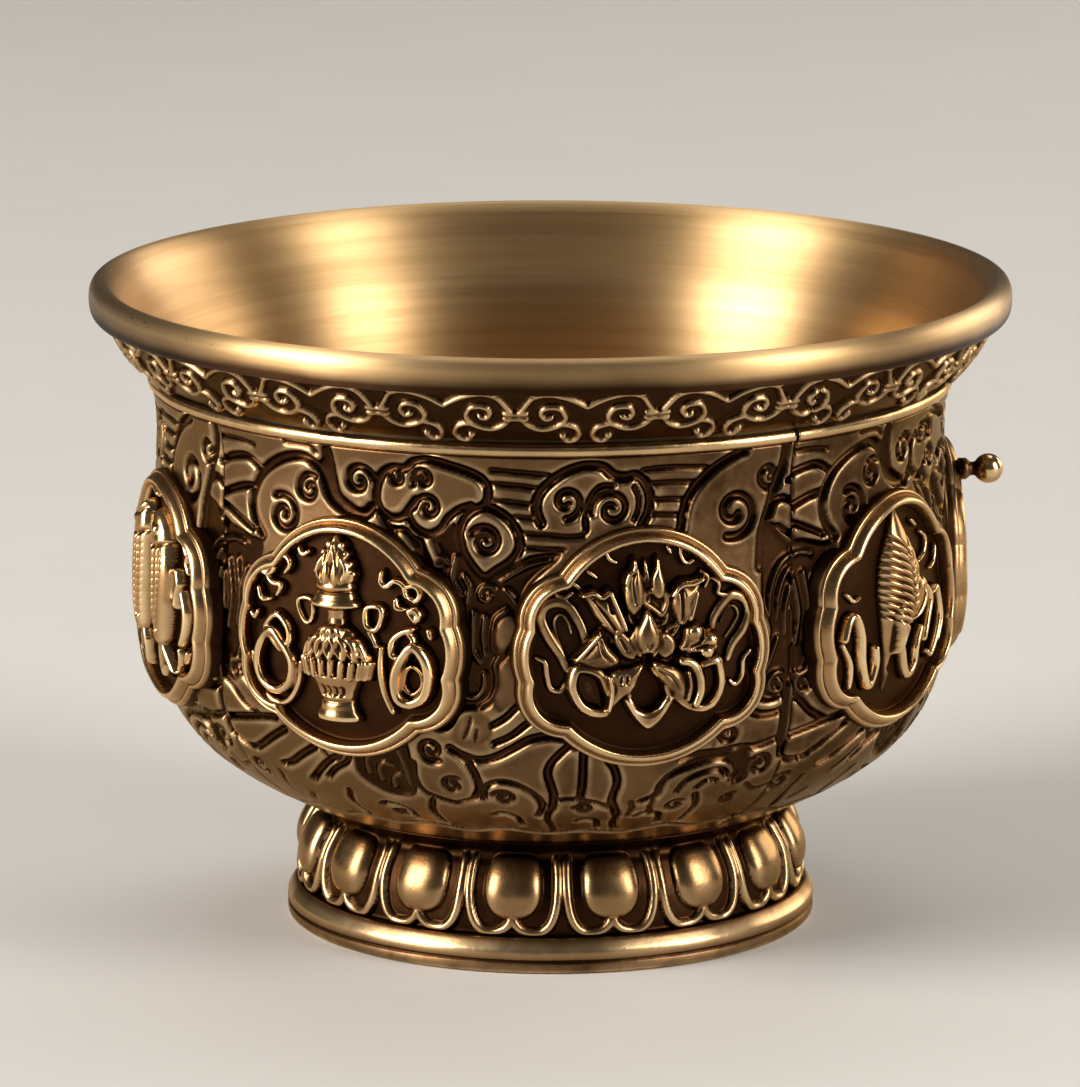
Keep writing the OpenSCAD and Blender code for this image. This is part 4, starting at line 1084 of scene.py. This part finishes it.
def foot_relief():
    skin = Skin(FOOT)
    az = np.linspace(-20, 340, FOOT_GRID[0], endpoint=False)
    s = np.linspace(0, skin.length, FOOT_GRID[1])
    height = np.interp(s, skin.s, skin.z)
    w = Relief(skin, az, s)
    w.h[:] = (-0.25 * (1 - step01((height - 9.2) / 0.8)))[:, None]
    petal = pairs(PETAL_EDGE)
    petal = petal + flip(petal[-2::-1], -1)
    for k in range(PETALS):
        middle = PETAL_AZ + 360 / PETALS * k
        if middle + 12 > 340:
            middle -= 360
        for at in ((middle, middle + 360) if middle < 4 else (middle,)):
            edge = [(at + a, z) for a, z in petal]
            w.region(w.path(edge, True), -0.08, 0.25)
            w.ridge(w.path(edge), 0.8, 0.46, 0.42)
            w.boss(at, *BOSS, -0.05, 1.08)
            for side in (-1, 1):
                rib = [(at + side * 180 / PETALS, z) for z in (6.6, 8.2, 9.6)]
                w.ridge(w.path(rib), 0.4, 0.28, 0.3)
    # Painted shade: the top of the drum, the hollow neck under the bowl, darkened as if in shadow
    w.painted_shade += (0.75 * step01((height - 8.3) / 1.3))[:, None]
    for fade in (1 - step01((height - 9.0) / 1.2), step01((skin.length - s) / 0.5),
                 step01((s + 0.25) / 0.5)):
        w.h *= fade[:, None]
    return w


# Height and radius of the liner's inside from its belly up to the lip
INSIDE = [(21, 32.6), (22, 32.1), (26, 32.3), (30, 32.38), (34, 32.3), (38, 32.22), (42, 32.25),
          (44, 32.38), (46, 32.7), (47.5, 33.1), (49, 33.65), (50, 34.15), (51, 34.8),
          (52, 35.5), (53, 36.2), (54, 36.85), (55.5, 37.75)]
LIP = [(38.75, 53.32), (39.3, 53.32), (39.72, 53.61), (39.93, 54.17), (40.0, 54.85),
       (39.93, 55.53), (39.68, 56.05), (39.2, 56.36), (38.65, 56.34), (38.2, 56.02),
       (37.75, 55.55)]


def liner():
    skin = Skin(WALL + BAND)
    s = np.linspace(skin.s_at(12.6), skin.length, 90)
    outer = np.stack(skin.at(s, -(WALL_T + GAP)), 1)
    # The inside falls from the lip in one even slope, past the bends of the wall outside it
    x, z = skin.at(s, -(WALL_T + GAP + LINER_T))
    even = np.interp(z, *smooth(INSIDE, 0.3).T)
    inner = np.stack([np.where(z > 44, even, np.minimum(x, even)), z], 1)
    floor = [(x, Z_FLOOR) for x in (2, 6, 10, 14, 17, 19.2)]
    dish = [(20.2, Z_DISH + 0.04)] + [(x, Z_DISH) for x in (19.2, 17, 14, 10, 6, 2)]
    p = np.concatenate([floor, outer[3:-1], smooth(LIP, 0.16), inner[::-1], dish])
    p = p[np.concatenate([[True], np.hypot(*np.diff(p, axis=0).T) > 0.02])]
    a = full_turn(720)
    # Spun by hand: a slow wobble in the lip and a faint swell round the inside
    lipped = step01((p[:, 1:] - 52.5) / 2.5)
    r = p[:, :1] + 0.03 * lipped * (np.sin(3 * a + 0.6) + 0.6 * np.sin(7 * a + 2.0) - 1.6)
    z = p[:, 1:] + 0.02 * lipped * (np.sin(4 * a + 1.1) - 1)
    x, up = p.T
    dark = np.where(np.arange(len(p)) < len(floor) + len(outer) - 3, 0.6, 0.0)
    # Painted shade on the lip: its outer face darkens towards its lower edge, and its underside is
    # dark
    dark = np.where(x > 39.0, np.interp(up, [53.9, 54.5, 55.2, 55.9], [0.85, 0.62, 0.4, 0]), dark)
    dark[(up < 53.9) & (x > 38.6)] = 0.9
    edge = np.where((x > 39.2) & (up > 54.4), 1.0, 0.0)
    return poled("liner", around(r, a, z), (0, 0, Z_FLOOR), (0, 0, Z_DISH), dark, edge)


BEAD_R = 0.57
BEAD_MIDDLE = (34.42, 47.8)
BEAD_JOINT = 0.3


def bead_ring():
    t = np.radians(np.linspace(-88, 88, 15))
    front = [(BEAD_MIDDLE[0] + BEAD_R * math.cos(x), BEAD_MIDDLE[1] + BEAD_R * math.sin(x))
             for x in t]
    section = np.array([(33.78, 47.24)] + front + [(34.5, 48.37), (34.2, 48.3)])
    dark = np.array([1] + list(np.abs(np.degrees(t)) / 88) + [1, 1])
    dark = np.maximum(0.0, (dark - 0.55) / 0.45)
    half = math.degrees(BEAD_JOINT / WALL_R) / 2
    a = np.radians(np.linspace(SEAM + half, SEAM + 360 - half, 900))[None, :]
    r = section[:, :1] + 0.04 * (np.sin(23 * a) * np.sin(7 * a + 1) - 0.5)
    return shell("bead", around(r, a, section[:, 1:]), dark, 1 - dark)


def base_ring():
    p = np.array([
        (20.5, 0.02), (21.6, 0.0), (22.6, 0.0), (22.88, 0.05), (23.05, 0.2), (23.1, 0.4),
        (23.1, 0.86), (23.06, 0.96), (22.93, 1.06), (22.93, 1.16), (23.06, 1.26), (23.1, 1.36),
        (23.1, 1.9), (23.04, 2.08), (22.9, 2.28), (22.66, 2.66), (22.5, 2.9), (22.34, 2.99),
        (22.1, 3.0), (21.4, 3.0), (20.5, 2.98)])
    a = full_turn(640)
    high = step01((p[:, 1:] - 1.3) / 0.8) * step01((p[:, :1] - 22) / 0.4)
    r = p[:, :1] + 0.035 * high * (np.sin(9 * a) * np.sin(4 * a + 1) - 0.6 + 0.5 * np.sin(31 * a))
    x, z = p.T
    # Dark with patina in the groove round the middle; below the groove painted shade darkens the
    # ring towards the bottom; its inner faces are dark
    dark = np.interp(z, [0.0, 0.9, 1.0, 1.2, 1.3, 2.2, 3.0], [0.5, 0.3, 0.8, 0.7, 0.1, 0.1, 0.35])
    edge = np.clip(bell(z, 2.15, 0.35) + bell(z, 0.15, 0.2), 0, 1)
    return shell("base", around(r, a, p[:, 1:]), np.where(x < 22.3, 0.9, dark),
                 np.where(x < 22.3, 0, edge), whole=True)


PEARL_R = 1.3
PEARL_OUT = 2.1


def pearl(az, z, base_r):
    """A ball on a peg with a small collar, standing out of the knot medallion's frame."""
    t = np.radians(np.linspace(-54, 78, 26))
    p = np.array([(0.95, -0.55), (0.95, 0.1), (0.78, 0.3), (0.62, 0.5), (0.58, 0.72), (0.66, 0.95)]
                 + [(PEARL_R * math.cos(x), PEARL_OUT + PEARL_R * math.sin(x)) for x in t])
    a = full_turn(64)
    facing = math.radians(az)

    def turned(side, up, out):
        return np.stack(np.broadcast_arrays(
            out * math.sin(facing) + side * math.cos(facing),
            -out * math.cos(facing) + side * math.sin(facing), z + up), -1)

    rings = turned(p[:, :1] * np.cos(a), p[:, :1] * np.sin(a), p[:, 1:] + base_r)
    dark = np.interp(p[:, 1], [-0.3, 0.2, 0.7, 1.1, 1.6], [0.8, 0.4, 0.7, 0.6, 0])
    edge = np.interp(p[:, 1], [1.3, 1.9], [0, 0.6])
    ends = [turned(0, 0, base_r + out) for out in (-0.55, PEARL_OUT + PEARL_R)]
    return poled("pearl", rings, *ends, dark, edge)


# Materials

class Graph:
    """Small helper for a material's nodes."""

    def __init__(self, name):
        self.material = bpy.data.materials.new(name)
        self.material.use_nodes = True
        self.tree = self.material.node_tree

    def put(self, socket, value):
        if isinstance(value, bpy.types.NodeSocket):
            self.tree.links.new(value, socket)
        else:
            socket.default_value = value

    def surface(self, **inputs):
        """Values or links for the shader's own inputs."""
        for key, value in inputs.items():
            self.put(self.tree.nodes["Principled BSDF"].inputs[key.replace("_", " ")], value)

    def node(self, kind, inputs=(), **settings):
        """A new node with its settings and with values or links on its inputs."""
        n = self.tree.nodes.new("ShaderNode" + kind)
        for key, value in settings.items():
            setattr(n, key, value)
        for key, value in dict(inputs).items():
            self.put(n.inputs[key], value)
        return n.outputs

    def calc(self, operation, a, b=0.0, clamp=False):
        return self.node("Math", enumerate((a, b)), operation=operation, use_clamp=clamp)[0]

    def add(self, a, b):
        return self.calc("ADD", a, b)

    def times(self, a, b, clamp=False):
        return self.calc("MULTIPLY", a, b, clamp)

    def swing(self, value, amount):
        """A texture's value from its middle, times an amount."""
        return self.times(self.calc("SUBTRACT", value, 0.5), amount)

    def spread(self, value, lo, hi, to_lo, to_hi):
        return self.node("MapRange", enumerate((value, lo, hi, to_lo, to_hi)),
                         interpolation_type="SMOOTHSTEP")[0]

    def mix(self, factor, a, b):
        a, b = (v if isinstance(v, bpy.types.NodeSocket) else (*v, 1) for v in (a, b))
        return self.node("Mix", {0: factor, 6: a, 7: b}, data_type="RGBA")[2]

    def noise(self, vector, scale, detail, roughness):
        return self.node("TexNoise", {"Vector": vector, "Scale": scale, "Detail": detail,
                                      "Roughness": roughness})["Fac"]

    def mark(self, name):
        return self.node("Attribute", attribute_name=name)["Fac"]

    def place(self):
        return self.node("TexCoord")["Object"]

    def bump(self, height, strength, distance, **more):
        more.update(Height=height, Strength=strength, Distance=distance)
        return self.node("Bump", more)["Normal"]


PATINA = (0.016, 0.006, 0.0025)
OLD_PATINA = (0.046, 0.020, 0.008)
BRIGHT = (0.88, 0.64, 0.35)


def cast_brass(name, tan, rough, dark_rough, grain, wear):
    """Cast brass: polished where it stands out, dark brown with patina in its recesses and darker
    where the dark mark carries painted shade.
    """
    g = Graph(name)
    p = g.place()
    cloud = g.noise(p, 170, 4, 0.6)
    fine = g.noise(p, 900, 5, 0.65)
    specks = g.noise(p, 3200, 2, 0.5)
    shift = g.add(g.swing(cloud, 0.7), g.swing(fine, 0.5))
    # Patina together with the painted shade that the dark mark carries
    patina_and_shade = g.spread(g.add(g.mark("dark"), shift), 0.15, 0.75, 0.0, 1.0)
    worn = g.times(g.mark("edge"), wear, clamp=True)
    patina_and_shade = g.times(patina_and_shade, g.calc("SUBTRACT", 1.0, g.times(worn, 0.6)))
    metal = g.mix(worn, tan, BRIGHT)
    metal = g.mix(g.spread(cloud, 0.35, 0.7, 0.0, 0.45), metal, [c * 0.72 for c in tan])
    rough = g.add(g.spread(patina_and_shade, 0.0, 1.0, rough, dark_rough), g.swing(fine, 0.18))
    n = g.bump(fine, 0.35 * grain, 0.00006)
    g.surface(Base_Color=g.mix(patina_and_shade, metal, g.mix(fine, PATINA, OLD_PATINA)), Metallic=1.0,
              Specular_Tint=(1.0, 0.8, 0.58, 1),
              Roughness=g.calc("SUBTRACT", rough, g.times(worn, 0.06)),
              Normal=g.bump(specks, 0.25 * grain, 0.00002, Normal=n))
    return g.material


def spun_brass(name):
    """Lathe-brushed brass: fine lines round the axis and a sheen drawn out across them."""
    g = Graph(name)
    p = g.place()
    x, y, z = g.node("SeparateXYZ", {0: p})
    r = g.calc("SQRT", g.add(g.times(x, x), g.times(y, y)))
    drift = g.add(g.times(x, 0.02), g.times(y, 0.013))
    ring = g.node("CombineXYZ", enumerate((r, z, drift)))[0]
    lines = g.noise(ring, 5200, 3, 0.6)
    bands = g.noise(ring, 700, 3, 0.6)
    cloud = g.noise(p, 60, 3, 0.55)
    tone = g.mix(g.spread(bands, 0.3, 0.75, 0.0, 1.0), (0.72, 0.49, 0.245), (0.58, 0.37, 0.165))
    tone = g.mix(g.spread(cloud, 0.4, 0.75, 0.0, 0.35), tone, (0.5, 0.3, 0.125))
    # Patina, plus the painted shade on the lip that the dark mark carries
    patina_and_shade = g.spread(g.add(g.mark("dark"), g.swing(cloud, 0.5)), 0.2, 0.9, 0.0, 1.0)
    # Small dents and specks along the lip
    chips = g.times(g.spread(g.noise(p, 1900, 3, 0.6), 0.62, 0.7, 0.0, 1.0),
                    g.spread(g.noise(p, 45, 2, 0.5), 0.5, 0.62, 0.0, 0.6))
    patina_and_shade = g.calc("MAXIMUM", patina_and_shade, g.times(chips, g.mark("edge")))
    rough = g.add(g.add(0.45, g.swing(lines, 0.16)), g.times(patina_and_shade, 0.15))
    n = g.bump(lines, 0.12, 0.00002)
    g.surface(Base_Color=g.mix(patina_and_shade, tone, OLD_PATINA), Metallic=1.0, Roughness=rough,
              Anisotropic=0.85, Anisotropic_Rotation=0.25,
              Tangent=g.node("Tangent", direction_type="RADIAL", axis="Z")[0],
              Normal=g.bump(g.noise(p, 1500, 2, 0.5), 0.05, 0.00003, Normal=n))
    return g.material


BRASS = {"brushed_brass": spun_brass("brushed_brass")}
# Polished colour, roughness of the metal and of the patina, grain and wear
for name, *look in (
    ("patina_brass", (0.155, 0.085, 0.038), 0.34, 0.25, 1.0, 0.3),
    ("dark_brass", (0.2, 0.112, 0.05), 0.32, 0.34, 1.0, 0.4),
    ("bead_brass", (0.38, 0.222, 0.1), 0.28, 0.45, 0.8, 0.5),
    ("medallion_brass", (0.38, 0.222, 0.1), 0.28, 0.5, 1.0, 0.8),
    ("emblem_brass", (0.42, 0.25, 0.115), 0.22, 0.34, 0.6, 1.0),
    ("foot_brass", (0.31, 0.185, 0.085), 0.28, 0.34, 1.0, 0.4),
    ("ring_brass", (0.26, 0.15, 0.068), 0.34, 0.42, 1.2, 0.7),
):
    BRASS[name] = cast_brass(name, *look)


# The bowl

def dress(obj, slot, node):
    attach(obj, "root")
    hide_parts(node)
    obj.data.materials.append(BRASS[slot])


dress(liner(), "brushed_brass", "liner_bowl")
# The first quarter is the seen one, and the pattern of the second lies a little closer to it
CLOSER = 1.3
for i in (1, 2, 3, 4):
    wall = wall_relief(SEAM + 90 * (i - 2), 90 * (i - 1) - (CLOSER if i == 2 else 0))
    dress(turned_relief("wall_%d" % i, wall, back_outline(WALL), -0.42, -0.06),
          "patina_brass", "wall_panel_%d" % i)
dress(turned_relief("band", band_relief(), back_outline(BAND)[::3], -0.42, -0.08),
      "dark_brass", "scroll_band")
dress(bead_ring(), "bead_brass", "bead_ring")
dress(turned_relief("drum", foot_relief(), pairs(FOOT_BACK), -0.1, 0.3, whole=True),
      "foot_brass", "foot_drum")
dress(base_ring(), "ring_brass", "foot_ring")
MEDALLIONS = [
    ("fish", -72.4, carve_fish), ("vase", -29.76, carve_vase), ("lotus", 12.88, carve_lotus),
    ("conch", 56.7, carve_conch), ("knot", 102.88, carve_knot), ("banner", 149.06, carve_banner),
    ("wheel", 195.24, carve_wheel), ("parasol", 241.42, carve_parasol),
]
for seed, (symbol, az0, carve) in enumerate(MEDALLIONS):
    dress(medallion("frame_" + symbol, az0, seed), "medallion_brass", "medallion_" + symbol)
    carving = Carving()
    carve(carving)
    dress(carving.mesh("relief_" + symbol, az0), "emblem_brass", "emblem_" + symbol)
dress(pearl(95.03, 38.63, 36.35), "emblem_brass", "side_pearl")


# Floor, light and camera

def floor():
    n, half = 24, 2000
    x, y = np.meshgrid(*[np.linspace(-half, half, n)] * 2)
    obj = new_object("floor", np.stack([x, y, np.zeros_like(x)], -1), [grid_faces(n, n)])
    g = Graph("floor")
    grain = g.noise(g.place(), 40, 3, 0.5)
    g.surface(Base_Color=g.mix(grain, (0.70, 0.685, 0.66), (0.74, 0.725, 0.70)), Roughness=0.65)
    obj.data.materials.append(g.material)


def lamp(name, place, size, energy, color):
    data = bpy.data.lights.new(name, "AREA")
    data.shape = "RECTANGLE"
    data.size, data.size_y = size
    data.energy, data.color = energy, color
    obj = bpy.data.objects.new(name, data)
    obj.location = place
    way = Vector((0, 0, 0.035)) - Vector(place)
    obj.rotation_euler = way.to_track_quat("-Z", "Y").to_euler()
    bpy.context.scene.collection.objects.link(obj)


floor()
lamp("left", (-0.95, -0.42, 0.43), (0.55, 0.8), 18.5, (1.0, 0.95, 0.88))
lamp("right", (0.85, -0.45, 0.42), (0.4, 0.7), 8.5, (1.0, 0.95, 0.88))
lamp("back", (0.8, 0.62, 0.3), (0.7, 0.5), 4.0, (1.0, 0.93, 0.84))
lamp("top", (0.0, 0.5, 1.1), (0.9, 0.6), 3.0, (1.0, 0.97, 0.93))

scene = bpy.context.scene
world = bpy.data.worlds.new("studio")
world.use_nodes = True
color, strength = world.node_tree.nodes["Background"].inputs[:2]
color.default_value = (1.0, 0.96, 0.92, 1)
strength.default_value = 0.08
scene.world = world
scene.view_settings.view_transform = "Standard"

camera = bpy.data.cameras.new("camera")
camera.sensor_fit = "AUTO"
camera.sensor_width = 36
camera.lens = 249.43
camera.clip_start = 0.05
camera.clip_end = 20
eye = bpy.data.objects.new("camera", camera)
eye.location = (-0.000914, -0.6423, 0.17083)
eye.rotation_euler = (math.radians(90 - 12.145), 0, 0)
scene.collection.objects.link(eye)
scene.camera = eye
